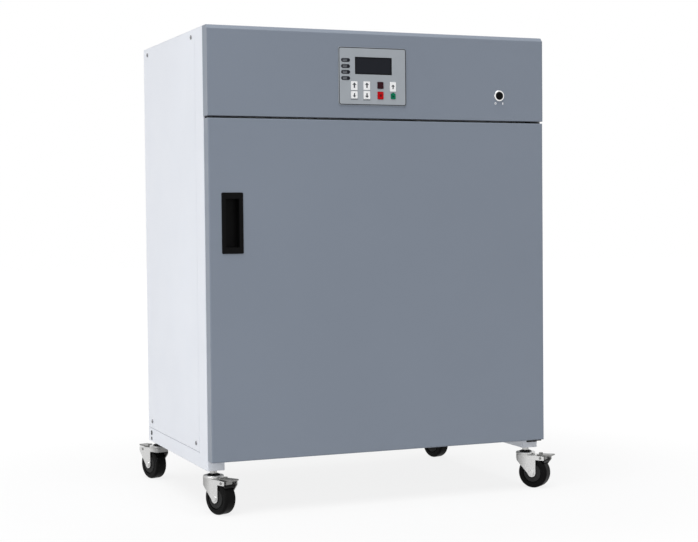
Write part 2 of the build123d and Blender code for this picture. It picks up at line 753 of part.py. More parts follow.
with BuildPart() as power_board:
    x, from_back = power_board_middle
    y = back_y - from_back
    half_w, half_d = (size / 2 for size in power_board_size)
    foot_z = deck_z + sheet
    board_z = foot_z + power_board_post
    block((x - half_w, x + half_w), (y - half_d, y + half_d), (board_z, board_z + board_thickness))
    with Locations((x, y, foot_z + power_board_post / 2)):
        with GridLocations(2 * (half_w - power_board_edge), 2 * (half_d - power_board_edge), 2, 2):
            Cylinder(post_radius, power_board_post)
    on_board = board_z + board_thickness
    for x_limits, y_limits, height in power_blocks:
        block(
            (x + x_limits[0], x + x_limits[1]),
            (y + y_limits[0], y + y_limits[1]),
            (on_board, on_board + height),
        )
    capacitor_middle = (x + capacitor_place[0], y + capacitor_place[1], on_board + capacitor_height / 2)
    rod_along("Z", capacitor_middle, capacitor_radius, capacitor_height)
    strip_x_limits, strip_y_limits, strip_height = power_blocks[-1]
    strip_x = x + sum(strip_x_limits) / 2
    with Locations((strip_x, y, on_board + strip_height)):
        with GridLocations(0, terminal_pitch, 1, terminal_count):
            Cylinder(terminal_radius, terminal_radius, mode=Mode.SUBTRACT)


# ================================================================ control fascia
def front_plane(depth):
    """A plane facing the viewer, at a depth behind the door's front face; its Y is up."""
    return Plane(origin=(0, front_y + depth, 0), x_dir=(1, 0, 0), z_dir=(0, -1, 0))


def middle_of(limits):
    """The middle of a range."""
    return (limits[0] + limits[1]) / 2


def size_of(limits):
    """The length of a range."""
    return limits[1] - limits[0]


key_shapes = [
    (name, middle_of(x_limits), fascia_bottom + middle_of(heights), size_of(x_limits), size_of(heights))
    for name, x_limits, heights in key_table
]


def key_outline(name, width, height, margin):
    """Outline of a key about the current location, grown by a margin."""
    RectangleRounded(width + 2 * margin, height + 2 * margin, key_corner + max(margin, 0))
    if name == "key_start":
        half = width / 2 + margin
        base = height / 2 + margin - key_corner
        Polygon((-half, 0), (-half, base), (0, base + start_key_peak), (half, base), (half, 0), align=None)


with BuildPart() as control_fascia:
    with BuildSketch(Plane.YZ.offset(-half_width)) as profile:
        with BuildLine():
            Polyline(
                (front_y, fascia_bottom),
                (front_y, cabinet_top - fascia_bevel),
                (front_y + fascia_bevel, cabinet_top),
                (body_y, cabinet_top),
                (body_y, fascia_bottom),
                close=True,
            )
        make_face()
    extrude(amount=cabinet_width)
    with BuildSketch(Plane.YZ.offset(-half_width + sheet)) as hollow:
        with BuildLine():
            bevel_shift = sheet * math.tan(math.radians(22.5))
            Polyline(
                (front_y + sheet, fascia_bottom + sheet),
                (front_y + sheet, cabinet_top - fascia_bevel - bevel_shift),
                (front_y + fascia_bevel + bevel_shift, cabinet_top - sheet),
                (body_y + sheet, cabinet_top - sheet),
                (body_y + sheet, fascia_bottom + sheet),
                close=True,
            )
        make_face()
    extrude(amount=cabinet_width - 2 * sheet, mode=Mode.SUBTRACT)
    # the bottom return stops short of the cabinet, which leaves room for the hinge
    lip_y = (door_back_y, body_y + sheet)
    block((-half_width, half_width), lip_y, (fascia_bottom - sheet, fascia_bottom + sheet), Mode.SUBTRACT)
    # cut-outs behind the controller panel and for the power switch
    cut_x = (panel_x[0] + panel_lap, panel_x[1] - panel_lap)
    cut_z = (panel_z[0] + panel_lap, panel_z[1] - panel_lap)
    block(cut_x, (front_y - sheet, front_y + 2 * sheet), cut_z, Mode.SUBTRACT)
    rod_along("Y", (switch_x, front_y, switch_z), barrel_radius + fit_gap, 4 * sheet, Mode.SUBTRACT)
    # four welded posts that carry the controller board
    post_length = board_depth - sheet
    for x in (panel_x[0] + post_radius, panel_x[1] - post_radius):
        for z in (panel_z[0] + post_radius, panel_z[1] - post_radius):
            rod_along("Y", (x, front_y + sheet + post_length / 2, z), post_radius, post_length)

with BuildPart() as controller_board:
    y_range = (front_y + board_depth, front_y + board_depth + board_thickness)
    block(panel_x, y_range, panel_z)
    chip_y = (y_range[1], y_range[1] + chip_height)
    for x_limits, z_limits in board_chips:
        chip_x = (panel_x[0] + x_limits[0], panel_x[0] + x_limits[1])
        chip_z = (panel_z[0] + z_limits[0], panel_z[0] + z_limits[1])
        block(chip_x, chip_y, chip_z)
    half = board_switch[0] / 2
    for name, x, z, width, height in key_shapes:
        switch_top = front_y + board_depth - board_switch[1]
        block((x - half, x + half), (switch_top, y_range[0]), (z - half, z + half))

with BuildPart() as controller_panel:
    with BuildSketch(front_plane(0)):
        with Locations((middle_of(panel_x), middle_of(panel_z))):
            RectangleRounded(size_of(panel_x), size_of(panel_z), panel_corner)
        with Locations((middle_of(display_x), middle_of(display_z))):
            Rectangle(size_of(display_x) + fit_gap, size_of(display_z) + fit_gap, mode=Mode.SUBTRACT)
        for z in lens_zs:
            with Locations((lens_x, z)):
                SlotOverall(lens_size[0] + fit_gap, lens_size[1] + fit_gap, mode=Mode.SUBTRACT)
    extrude(amount=panel_thickness)
    for name, x, z, width, height in key_shapes:
        with BuildSketch(front_plane(0).shift_origin((x, front_y, z))):
            key_outline(name, width, height, key_fit)
        extrude(amount=panel_thickness, mode=Mode.SUBTRACT)
    rim = controller_panel.faces().sort_by(Axis.Y)[0].outer_wire().edges()
    fillet(rim, panel_edge)

with BuildPart() as display_window:
    x_range = display_x
    y_range = (front_y - panel_thickness + display_recess, front_y + display_depth)
    block(x_range, y_range, display_z)

with BuildPart() as indicator_lenses:
    for z in lens_zs:
        with BuildSketch(front_plane(0)):
            with Locations((lens_x, z)):
                SlotOverall(*lens_size)
        extrude(amount=panel_thickness + lens_proud)
    front_edges = indicator_lenses.faces().filter_by(Axis.Y).group_by(Axis.Y)[0].edges()
    fillet(front_edges, lens_proud * soft_edge)


def panel_key(name, x, z, width, height):
    """A key cap with the flange that keeps it behind the panel and its plunger."""
    cap_front = panel_thickness + key_proud
    switch_top = board_depth - board_switch[1]
    with BuildPart() as key:
        with BuildSketch(front_plane(fit_gap).shift_origin((x, front_y + fit_gap, z))):
            key_outline(name, width, height, 0)
        extrude(amount=cap_front + fit_gap)
        rim = key.faces().sort_by(Axis.Y)[0].outer_wire().edges()
        fillet(rim, key_edge)
        flange_back = fit_gap + key_flange
        with BuildSketch(front_plane(flange_back).shift_origin((x, front_y + flange_back, z))):
            key_outline(name, width, height, key_flange_margin)
        extrude(amount=key_flange)
        plunger = switch_top - key_travel - running_fit
        rod_along("Y", (x, front_y + plunger / 2 + fit_gap / 2, z), key_stem_radius, plunger - fit_gap)
    return key


with BuildPart() as switch_bezel:
    bezel_plane = front_plane(0).shift_origin((switch_x, front_y, switch_z))
    with BuildSketch(bezel_plane):
        Circle(bezel_radius)
    extrude(amount=bezel_proud)
    fillet(switch_bezel.faces().sort_by(Axis.Y)[0].edges(), bezel_edge)
    with BuildSketch(bezel_plane):
        Circle(barrel_radius)
    extrude(amount=-barrel_depth)
    axis_y = front_y + rocker_axis_depth
    with Locations((switch_x, axis_y, switch_z)):
        Sphere(rocker_radius + rocker_fit, mode=Mode.SUBTRACT)
    mouth_middle = (switch_x, axis_y - barrel_depth, switch_z)
    rod_along("Y", mouth_middle, rocker_radius + rocker_fit, 2 * barrel_depth, Mode.SUBTRACT)
    tail_room = rocker_tail + 4 * running_fit
    room_radius = rocker_radius - sheet / 2
    rod_along("Y", (switch_x, axis_y + tail_room, switch_z), room_radius, 2 * tail_room, Mode.SUBTRACT)
    pin_room = 2 * (barrel_radius + fit_gap)
    rod_along(
        "Z", (switch_x, axis_y, switch_z), rocker_pin_radius + running_fit, pin_room, Mode.SUBTRACT
    )

rocker_turn = math.radians(-rocker_tilt)
rocker_plane = Plane(
    origin=(switch_x, front_y + rocker_axis_depth, switch_z),
    x_dir=(math.cos(rocker_turn), math.sin(rocker_turn), 0),
    z_dir=(math.sin(rocker_turn), -math.cos(rocker_turn), 0),
)
with BuildPart(rocker_plane) as power_rocker:
    Sphere(rocker_radius)
    # finger saddle across the front, flat back behind the pin
    with Locations(Location((0, 0, rocker_saddle_depth + rocker_saddle_radius), (90, 0, 0))):
        Cylinder(rocker_saddle_radius, 4 * rocker_radius, mode=Mode.SUBTRACT)
    with Locations((0, 0, -rocker_tail - rocker_radius)):
        Box(4 * rocker_radius, 4 * rocker_radius, 2 * rocker_radius, mode=Mode.SUBTRACT)
    with Locations(Location((0, 0, 0), (90, 0, 0))):
        Cylinder(rocker_pin_radius, 2 * barrel_radius)


# ================================================================ door
cup_x = (-half_width + cup_from_left, -half_width + cup_from_left + cup_width)
cup_z = (door_bottom + cup_above_edge, door_bottom + cup_above_edge + cup_height)
cup_body_x = (cup_x[0] + cup_margin, cup_x[1] - cup_margin)
cup_body_z = (cup_z[0] + cup_margin, cup_z[1] - cup_margin)
magnet_x = -half_width + magnet_inset
plug_x = chamber_width / 2 - plug_inset
plug_z = (chamber_bottom + plug_inset, chamber_top - plug_inset)
plug_back_y = body_y + plug_reach
pin_heights = (
    (door_bottom - 0.5 * front_gap, door_bottom + pin_length),
    (door_top - pin_length, door_top + 0.5 * front_gap),
)
bush_x = (hinge_x - bush_block / 2, half_width - sheet)
bush_y = (front_y + sheet, hinge_y + bush_block / 2)

with BuildPart() as door_skin:
    block((-half_width, half_width), (front_y, door_back_y), (door_bottom, door_top))
    front_rim = door_skin.faces().sort_by(Axis.Y)[0].edges()
    fillet(front_rim, door_edge_radius)
    fillet(door_skin.edges().filter_by(Axis.Z).sort_by(Axis.Y)[-2:], sheet / 2)
    inner_z = (door_bottom + sheet, door_top - sheet)
    block((-half_width + sheet, half_width - sheet), (front_y + sheet, body_y), inner_z, Mode.SUBTRACT)
    # welded blocks that the hinge pins turn in
    for z_range in ((door_bottom, door_bottom + bush_height), (door_top - bush_height, door_top)):
        block(bush_x, bush_y, z_range)
    for low, high in pin_heights:
        middle = (hinge_x, hinge_y, (low + high) / 2)
        rod_along("Z", middle, pin_radius + pin_fit, high - low + front_gap, Mode.SUBTRACT)
    window_x = (cup_body_x[0] - fit_gap, cup_body_x[1] + fit_gap)
    window_z = (cup_body_z[0] - fit_gap, cup_body_z[1] + fit_gap)
    block(window_x, (front_y - sheet, front_y + 2 * sheet), window_z, Mode.SUBTRACT)

with BuildPart() as door_liner:
    edge_x = half_width - sheet - fit_gap
    edge_z = (door_bottom + sheet + fit_gap, door_top - sheet - fit_gap)
    plate_y = (door_back_y - liner_sheet, door_back_y)
    block((-edge_x, edge_x), plate_y, edge_z)
    block((-plug_x, plug_x), (plate_y[0], plug_back_y), plug_z)
    plug_rim = door_liner.faces().sort_by(Axis.Y)[-1].edges()
    fillet(plug_rim, plug_corner)
    hollow_x = plug_x - liner_sheet
    hollow_z = (plug_z[0] + liner_sheet, plug_z[1] - liner_sheet)
    block((-hollow_x, hollow_x), (plate_y[0] - sheet, door_back_y), hollow_z, Mode.SUBTRACT)
    rounding = plug_corner - liner_sheet
    rounded_x = hollow_x - rounding
    rounded_z = (hollow_z[0] + rounding, hollow_z[1] - rounding)
    hollow_y = (door_back_y - fit_gap, plug_back_y - liner_sheet)
    block((-rounded_x, rounded_x), hollow_y, rounded_z, Mode.SUBTRACT)

with BuildPart() as door_insulation:
    fill_x = half_width - sheet - fit_gap
    fill_z = (door_bottom + sheet + fit_gap, door_top - sheet - fit_gap)
    fill_y = (front_y + sheet + fit_gap, door_back_y - liner_sheet - fit_gap)
    block((-fill_x, fill_x), fill_y, fill_z)
    plug_fill_x = (fit_gap - rounded_x, rounded_x - fit_gap)
    plug_fill_z = (rounded_z[0] + fit_gap, rounded_z[1] - fit_gap)
    block(plug_fill_x, (fill_y[0], hollow_y[1] - fit_gap), plug_fill_z)
    for z_range in (
        (door_bottom, door_bottom + bush_height + fit_gap),
        (door_top - bush_height - fit_gap, door_top),
    ):
        block((bush_x[0] - fit_gap, half_width), (front_y, body_y), z_range, Mode.SUBTRACT)
    pocket_x = (cup_body_x[0] - cup_undercut - cup_wall - fit_gap, cup_body_x[1] + cup_wall + fit_gap)
    pocket_z = (cup_body_z[0] - fit_gap, cup_body_z[1] + fit_gap)
    pocket_y = (front_y, front_y + cup_recess_depth + cup_wall + fit_gap)
    block(pocket_x, pocket_y, pocket_z, Mode.SUBTRACT)

with BuildPart() as door_gasket:
    in_x = chamber_width / 2 + gasket_inset
    out_x = in_x + gasket_width
    in_z = (chamber_bottom - gasket_inset, chamber_top + gasket_inset)
    out_z = (in_z[0] - gasket_width, in_z[1] + gasket_width)
    gasket_y = (door_back_y, body_y - gasket_clearance)
    block((-out_x, out_x), gasket_y, out_z)
    fillet(door_gasket.edges().filter_by(Axis.Y), gasket_width)
    block((-in_x, in_x), (front_y, body_y), in_z, Mode.SUBTRACT)

with BuildPart() as handle_cup:
    block(cup_x, (front_y - cup_rim, front_y), cup_z)
    fillet(handle_cup.edges().filter_by(Axis.Y), cup_rim_radius)
    fillet(handle_cup.faces().sort_by(Axis.Y)[0].edges(), cup_rim * soft_edge)
    shell_y = (front_y, front_y + cup_recess_depth + cup_wall)
    block(cup_body_x, shell_y, cup_body_z)
    # the body widens to the left behind the skin, for the finger undercut
    wide_x = (cup_body_x[0] - cup_undercut, cup_body_x[1])
    wide_y = (front_y + sheet + fit_gap, shell_y[1])
    block(wide_x, wide_y, cup_body_z)
    recess_x = (middle_of(cup_x) - cup_recess_width / 2, middle_of(cup_x) + cup_recess_width / 2)
    recess_middle_z = middle_of(cup_z)
    recess_z = (recess_middle_z - cup_recess_height / 2, recess_middle_z + cup_recess_height / 2)
    recess_y = (front_y - 2 * cup_rim, front_y + cup_recess_depth)
    block(recess_x, recess_y, recess_z, Mode.SUBTRACT)
    undercut_x = (wide_x[0] + sheet, recess_x[1])
    undercut_y = (front_y + cup_lip, front_y + cup_recess_depth)
    block(undercut_x, undercut_y, recess_z, Mode.SUBTRACT)

with BuildPart() as magnet_strikes:
    for height in magnet_heights:
        strike_x = (magnet_x - magnet_width / 2, magnet_x + magnet_width / 2)
        strike_z = (door_bottom + height - magnet_height / 2, door_bottom + height + magnet_height / 2)
        block(strike_x, (door_back_y, door_back_y + strike_thickness), strike_z)
    fillet(magnet_strikes.edges().filter_by(Axis.Y), strike_corner)

with BuildPart() as door_magnets:
    for height in magnet_heights:
        x_range = (magnet_x - magnet_width / 2, magnet_x + magnet_width / 2)
        z_range = (door_bottom + height - magnet_height / 2, door_bottom + height + magnet_height / 2)
        block(x_range, (body_y + sheet, body_y + sheet + magnet_depth), z_range)

with BuildPart() as hinge_brackets:
    plate_x = (half_width - hinge_plate_width, half_width - sheet - fit_gap)
    flange_y = (body_y - hinge_plate, body_y)
    room = (front_gap - hinge_plate) / 2
    for end, (low, high) in zip((-1, 1), pin_heights):
        if end < 0:
            plate_z = (door_bottom - room - hinge_plate, door_bottom - room)
            flange_z = (plate_z[0] - hinge_flange_drop, plate_z[1])
            pin_ends = (plate_z[0], high)
        else:
            plate_z = (door_top + room, door_top + room + hinge_plate)
            flange_z = (plate_z[0], plate_z[1] + hinge_flange_height)
            pin_ends = (low, plate_z[1])
        block(plate_x, (hinge_y - pin_radius - hinge_plate_nose, body_y), plate_z)
        block(plate_x, flange_y, flange_z)
        middle = (hinge_x, hinge_y, (pin_ends[0] + pin_ends[1]) / 2)
        rod_along("Z", middle, pin_radius, pin_ends[1] - pin_ends[0])


# ================================================================ casters
fork_width = wheel_width + 2 * (wheel_side_gap + fork_plate)
fork_inner = fork_width / 2 - fork_plate


class CasterFrame:
    """Planes and places of one caster, from its stem axis and the heading of its trail."""

    def __init__(self, side, end, heading):
        turn = math.radians(heading)
        self.along = Vector(math.cos(turn), math.sin(turn), 0)
        self.across = Vector(math.sin(turn), -math.cos(turn), 0)
        self.stem = Vector(side * stem_x, front_y + stem_depth(end), 0)
        self.level = Plane(origin=self.stem, x_dir=self.along, z_dir=(0, 0, 1))

    def side_plane(self, across):
        """Upright plane along the trail, with its X along the trail and its Y up."""
        return Plane(origin=self.stem + self.across * across, x_dir=self.along, z_dir=self.across)


def plate_outline(wide):
    """Outline of a fork's side plate: X along the trail, Y up from the floor."""
    back = trail + axle_boss_radius
    skirt = fork_top - skirt_height
    inset, drop = plate_taper
    if wide:
        Polygon(
            (-fork_nose, fork_top),
            (-fork_nose, skirt),
            (trail - axle_boss_radius, skirt),
            (trail - axle_boss_radius, wheel_radius),
            (back - inset, wheel_radius - drop),
            (wide_plate_reach, lug_bottom),
            (wide_plate_reach, lug_top),
            (back, fork_top),
            align=None,
        )
    else:
        Polygon(
            (-fork_nose, fork_top),
            (-fork_nose, skirt),
            (trail - axle_boss_radius + inset, wheel_radius - drop),
            (back, wheel_radius),
            (back, lug_bottom),
            (lug_reach, lug_bottom),
            (lug_reach, lug_top),
            (back, fork_top),
            align=None,
        )
    with Locations((trail, wheel_radius)):
        Circle(axle_boss_radius)


def caster_fork(place):
    """Swivel fork: crown with its ball race, two side plates, and the axle bolt."""
    with BuildPart() as fork:
        for across, wide in ((fork_inner, False), (-fork_inner - fork_plate, True)):
            with BuildSketch(place.side_plane(across)):
                plate_outline(wide)
            extrude(amount=fork_plate)
        back = trail + axle_boss_radius
        with BuildSketch(place.level.offset(fork_top - fork_crown)):
            with Locations(((back - fork_nose) / 2, 0)):
                Rectangle(back + fork_nose, fork_width)
        extrude(amount=fork_crown)
        with BuildSketch(place.level.offset(fork_top - skirt_height)):
            with Locations((-fork_nose + fork_plate / 2, 0)):
                Rectangle(fork_plate, fork_width)
        extrude(amount=skirt_height)
        # the nose is bent round: quarter rings join skirt and plates, and the square corners go
        length = 2 * wide_plate_reach
        nose_middle = length / 2 - fork_nose
        with BuildSketch(place.level.offset(fork_top - skirt_height)):
            with Locations((nose_middle, 0)):
                RectangleRounded(length, fork_width, fork_nose_radius)
                RectangleRounded(
                    length - 2 * fork_plate,
                    2 * fork_inner,
                    fork_nose_radius - fork_plate,
                    mode=Mode.SUBTRACT,
                )
            with Locations((nose_middle + fork_nose_radius, 0)):
                Rectangle(length, fork_width, mode=Mode.SUBTRACT)
        extrude(amount=skirt_height)
        with BuildSketch(place.level):
            with Locations((nose_middle, 0)):
                RectangleRounded(length, fork_width, fork_nose_radius)
        extrude(amount=fork_top, mode=Mode.INTERSECT)
        # ball race with a groove under its rim
        groove_depth, groove_height = race_groove
        with BuildSketch(place.level.offset(fork_top)):
            Circle(race_radius - groove_depth)
        extrude(amount=groove_height)
        with BuildSketch(place.level.offset(fork_top + groove_height)):
            Circle(race_radius)
        extrude(amount=race_height - groove_height)
        race_rim = fork.faces().sort_by(Axis.Z)[-1].edges()
        fillet(race_rim, (race_height - groove_height) / 2)
        with BuildSketch(place.level.offset(fork_top - 2 * fork_crown)):
            Circle(stem_radius + running_fit)
        extrude(amount=4 * race_height, mode=Mode.SUBTRACT)
        # axle bolt with its head and nut outside the plates
        bolt_half = fork_width / 2 + 0.5 * axle_radius
        for across, radius, length in (
            (-bolt_half, axle_radius, 2 * bolt_half),
            (fork_width / 2, 1.4 * axle_radius, 0.5 * axle_radius),
            (-bolt_half, 1.4 * axle_radius, 0.5 * axle_radius),
        ):
            with BuildSketch(place.side_plane(across)):
                with Locations((trail, wheel_radius)):
                    Circle(radius)
            extrude(amount=length)
        # holes for the pedal's pin
        with BuildSketch(place.side_plane(-fork_width)):
            with Locations(pedal_pivot):
                Circle(pedal_pin_radius + running_fit)
        extrude(amount=2 * fork_width, mode=Mode.SUBTRACT)
    return fork


def caster_wheel(place):
    """Wheel with a rounded tread, a ring groove round each hub disc and its axle bore."""
    half = wheel_width / 2
    with BuildPart() as wheel:
        with BuildSketch(place.side_plane(-half)):
            with Locations((trail, wheel_radius)):
                Circle(wheel_radius)
        extrude(amount=wheel_width)
        rims = wheel.edges().filter_by(GeomType.CIRCLE)
        fillet(rims, tread_radius)
        # a ring groove in each face, between tread and hub disc
        for across, amount in ((half, -hub_groove_depth), (-half, hub_groove_depth)):
            with BuildSketch(place.side_plane(across)):
                with Locations((trail, wheel_radius)):
                    Circle(hub_groove_radius)
                    Circle(hub_radius, mode=Mode.SUBTRACT)
            extrude(amount=amount, mode=Mode.SUBTRACT)
        with BuildSketch(place.side_plane(-half)):
            with Locations((trail, wheel_radius)):
                Circle(axle_radius + running_fit)
        extrude(amount=wheel_width, mode=Mode.SUBTRACT)
    return wheel


def caster_brake(place):
    """Brake pedal with its pin, its lock nut and the block that presses on the tyre."""
    block_half = wheel_width / 2
    neck_half = pedal_width / 2 - 2 * wheel_side_gap
    lift = pedal_thickness / 2
    brake_top = lug_bottom - wheel_side_gap
    with BuildPart() as brake:
        # lever
        root_reach = trail + axle_boss_radius + pedal_root_gap
        with BuildSketch(place.side_plane(-pedal_width / 2)):
            Polygon(
                (root_reach, pedal_root_height - lift),
                (pedal_reach - lift, pedal_tip_height - lift),
                (pedal_reach - lift, pedal_tip_height + lift),
                (root_reach, pedal_root_height + lift),
                align=None,
            )
            with Locations((pedal_reach - lift, pedal_tip_height)):
                Circle(lift)
        extrude(amount=pedal_width)
        # neck between the lugs
        with BuildSketch(place.side_plane(-neck_half)):
            neck_back, neck_front = (pedal_pivot[0] + reach for reach in brake_neck)
            Polygon(
                (neck_back, brake_top - pedal_thickness),
                (neck_front, brake_top - pedal_thickness),
                (neck_front, pedal_root_height),
                (neck_back, pedal_root_height),
                align=None,
            )
        extrude(amount=2 * neck_half)
        # block over the tyre, under the lugs
        with BuildSketch(place.side_plane(-block_half)):
            Polygon(
                (trail, brake_top),
                (brake_reach[0], brake_top),
                (brake_reach[1], brake_bottom),
                (trail, brake_bottom),
                align=None,
            )
        extrude(amount=2 * block_half)
        # the underside follows the tyre
        with BuildSketch(place.side_plane(-block_half)):
            with Locations((trail, wheel_radius)):
                Circle(wheel_radius + brake_gap)
        extrude(amount=2 * block_half, mode=Mode.SUBTRACT)
        # pin through both plates
        with BuildSketch(place.side_plane(-fork_width / 2 - pedal_pin_overhang)):
            with Locations(pedal_pivot):
                Circle(pedal_pin_radius)
        extrude(amount=fork_width + 2 * pedal_pin_overhang)
        # lock nut on the lever's root
        nut_reach = root_reach + pedal_nut_size / 2 + pedal_root_gap
        with BuildSketch(place.level.offset(pedal_root_height)):
            with Locations((nut_reach, 0)):
                RegularPolygon(pedal_nut_size / 2, 6, major_radius=False)
        extrude(amount=pedal_nut_height)
    return brake


with BuildPart() as caster_stems:
    for name, side, end, heading in caster_table:
        place = CasterFrame(side, end, heading)
        head_z = fork_top - fork_crown - running_fit
        with BuildSketch(place.level.offset(head_z - fork_crown)):
            Circle(stem_head_radius)
        extrude(amount=fork_crown)
        with BuildSketch(place.level.offset(head_z - fork_crown)):
            Circle(stem_radius)
        extrude(amount=caster_height + stem_top_reach - head_z + fork_crown)
        with BuildSketch(place.level.offset(caster_height - stem_collar_height)):
            Circle(stem_collar_radius)
        extrude(amount=stem_collar_height)
        with BuildSketch(place.level.offset(caster_height + rail_floor)):
            RegularPolygon(stem_nut_size / 2, 6, major_radius=False)
        extrude(amount=stem_top_reach - rail_floor - stem_end_proud)


# ================================================================ files
export(side_frame(-1), "side_frame_left")
export(side_frame(1), "side_frame_right")
export(side_panel(-1), "side_panel_left")
export(side_panel(1), "side_panel_right")
for name, piece in (
    ("panel_screws", panel_screws),
    ("rail_plugs", rail_plugs),
    ("top_panel", top_panel),
    ("rear_panel", rear_panel),
    ("base_pan", base_pan),
    ("front_frame", front_frame),
    ("control_deck", control_deck),
    ("chamber_liner", chamber_liner),
    ("chamber_insulation", chamber_insulation),
    ("air_baffle", air_baffle),
    ("shelf_supports", shelf_supports),
    ("heating_elements", heating_elements),
    ("temperature_probe", temperature_probe),
    ("fan_motor", fan_motor),
    ("fan_impeller", fan_impeller),
    ("exhaust_vent", exhaust_vent),
    ("power_inlet", power_inlet),
    ("power_board", power_board),
    ("control_fascia", control_fascia),
    ("controller_board", controller_board),
    ("controller_panel", controller_panel),
    ("display_window", display_window),
    ("indicator_lenses", indicator_lenses),
    ("switch_bezel", switch_bezel),
    ("power_rocker", power_rocker),
    ("door_skin", door_skin),
    ("door_liner", door_liner),
    ("door_insulation", door_insulation),
    ("door_gasket", door_gasket),
    ("handle_cup", handle_cup),
    ("magnet_strikes", magnet_strikes),
    ("door_magnets", door_magnets),
    ("hinge_brackets", hinge_brackets),
    ("caster_stems", caster_stems),
):
    export(piece, name)
for name, height in zip(("shelf_lower", "shelf_upper"), shelf_heights):
    export(shelf(height), name)
for shape in key_shapes:
    export(panel_key(*shape), shape[0])
for name, side, end, heading in caster_table:
    place = CasterFrame(side, end, heading)
    export(caster_fork(place), f"caster_fork_{name}")
    export(caster_wheel(place), f"caster_wheel_{name}")
    export(caster_brake(place), f"caster_brake_{name}")
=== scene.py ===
"""Looks of a dry heat sterilizer: paint, steel and plastic, the controls and the casters.

All lengths are in metres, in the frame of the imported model:
+X to the right seen from the front, +Y to the back, +Z up, the floor at Z = 0.
"""
import bmesh
import bpy
import json
import math
from mathutils import Matrix, Vector


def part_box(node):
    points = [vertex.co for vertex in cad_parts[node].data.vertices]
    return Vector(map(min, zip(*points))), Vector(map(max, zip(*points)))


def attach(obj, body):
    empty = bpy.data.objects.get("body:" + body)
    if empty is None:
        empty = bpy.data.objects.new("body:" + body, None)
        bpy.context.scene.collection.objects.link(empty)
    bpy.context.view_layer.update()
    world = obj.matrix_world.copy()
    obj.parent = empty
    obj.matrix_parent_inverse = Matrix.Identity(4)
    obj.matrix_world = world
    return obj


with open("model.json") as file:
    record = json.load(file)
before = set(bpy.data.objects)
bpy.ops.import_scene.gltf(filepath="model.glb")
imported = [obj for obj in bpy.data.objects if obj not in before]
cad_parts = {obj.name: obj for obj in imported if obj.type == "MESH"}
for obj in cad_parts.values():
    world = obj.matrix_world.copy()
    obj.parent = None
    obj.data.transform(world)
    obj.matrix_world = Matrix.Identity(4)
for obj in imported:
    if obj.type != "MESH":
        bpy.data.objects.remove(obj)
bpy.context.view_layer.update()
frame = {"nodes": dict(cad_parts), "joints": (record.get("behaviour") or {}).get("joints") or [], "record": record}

MM = 0.001
IMAGE_WIDTH = 698
SENSOR_WIDTH = 36.0
CASTERS = ("front_left", "front_right", "rear_left", "rear_right")

# places that the rest hangs on
door_low, door_high = (Vector(corner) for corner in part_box("door_skin"))
fascia_low, fascia_high = (Vector(corner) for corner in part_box("control_fascia"))
panel_low, panel_high = (Vector(corner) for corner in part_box("controller_panel"))
display_low, display_high = (Vector(corner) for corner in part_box("display_window"))
bezel_low, bezel_high = (Vector(corner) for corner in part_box("switch_bezel"))
cabinet_middle_x = (door_low.x + door_high.x) / 2


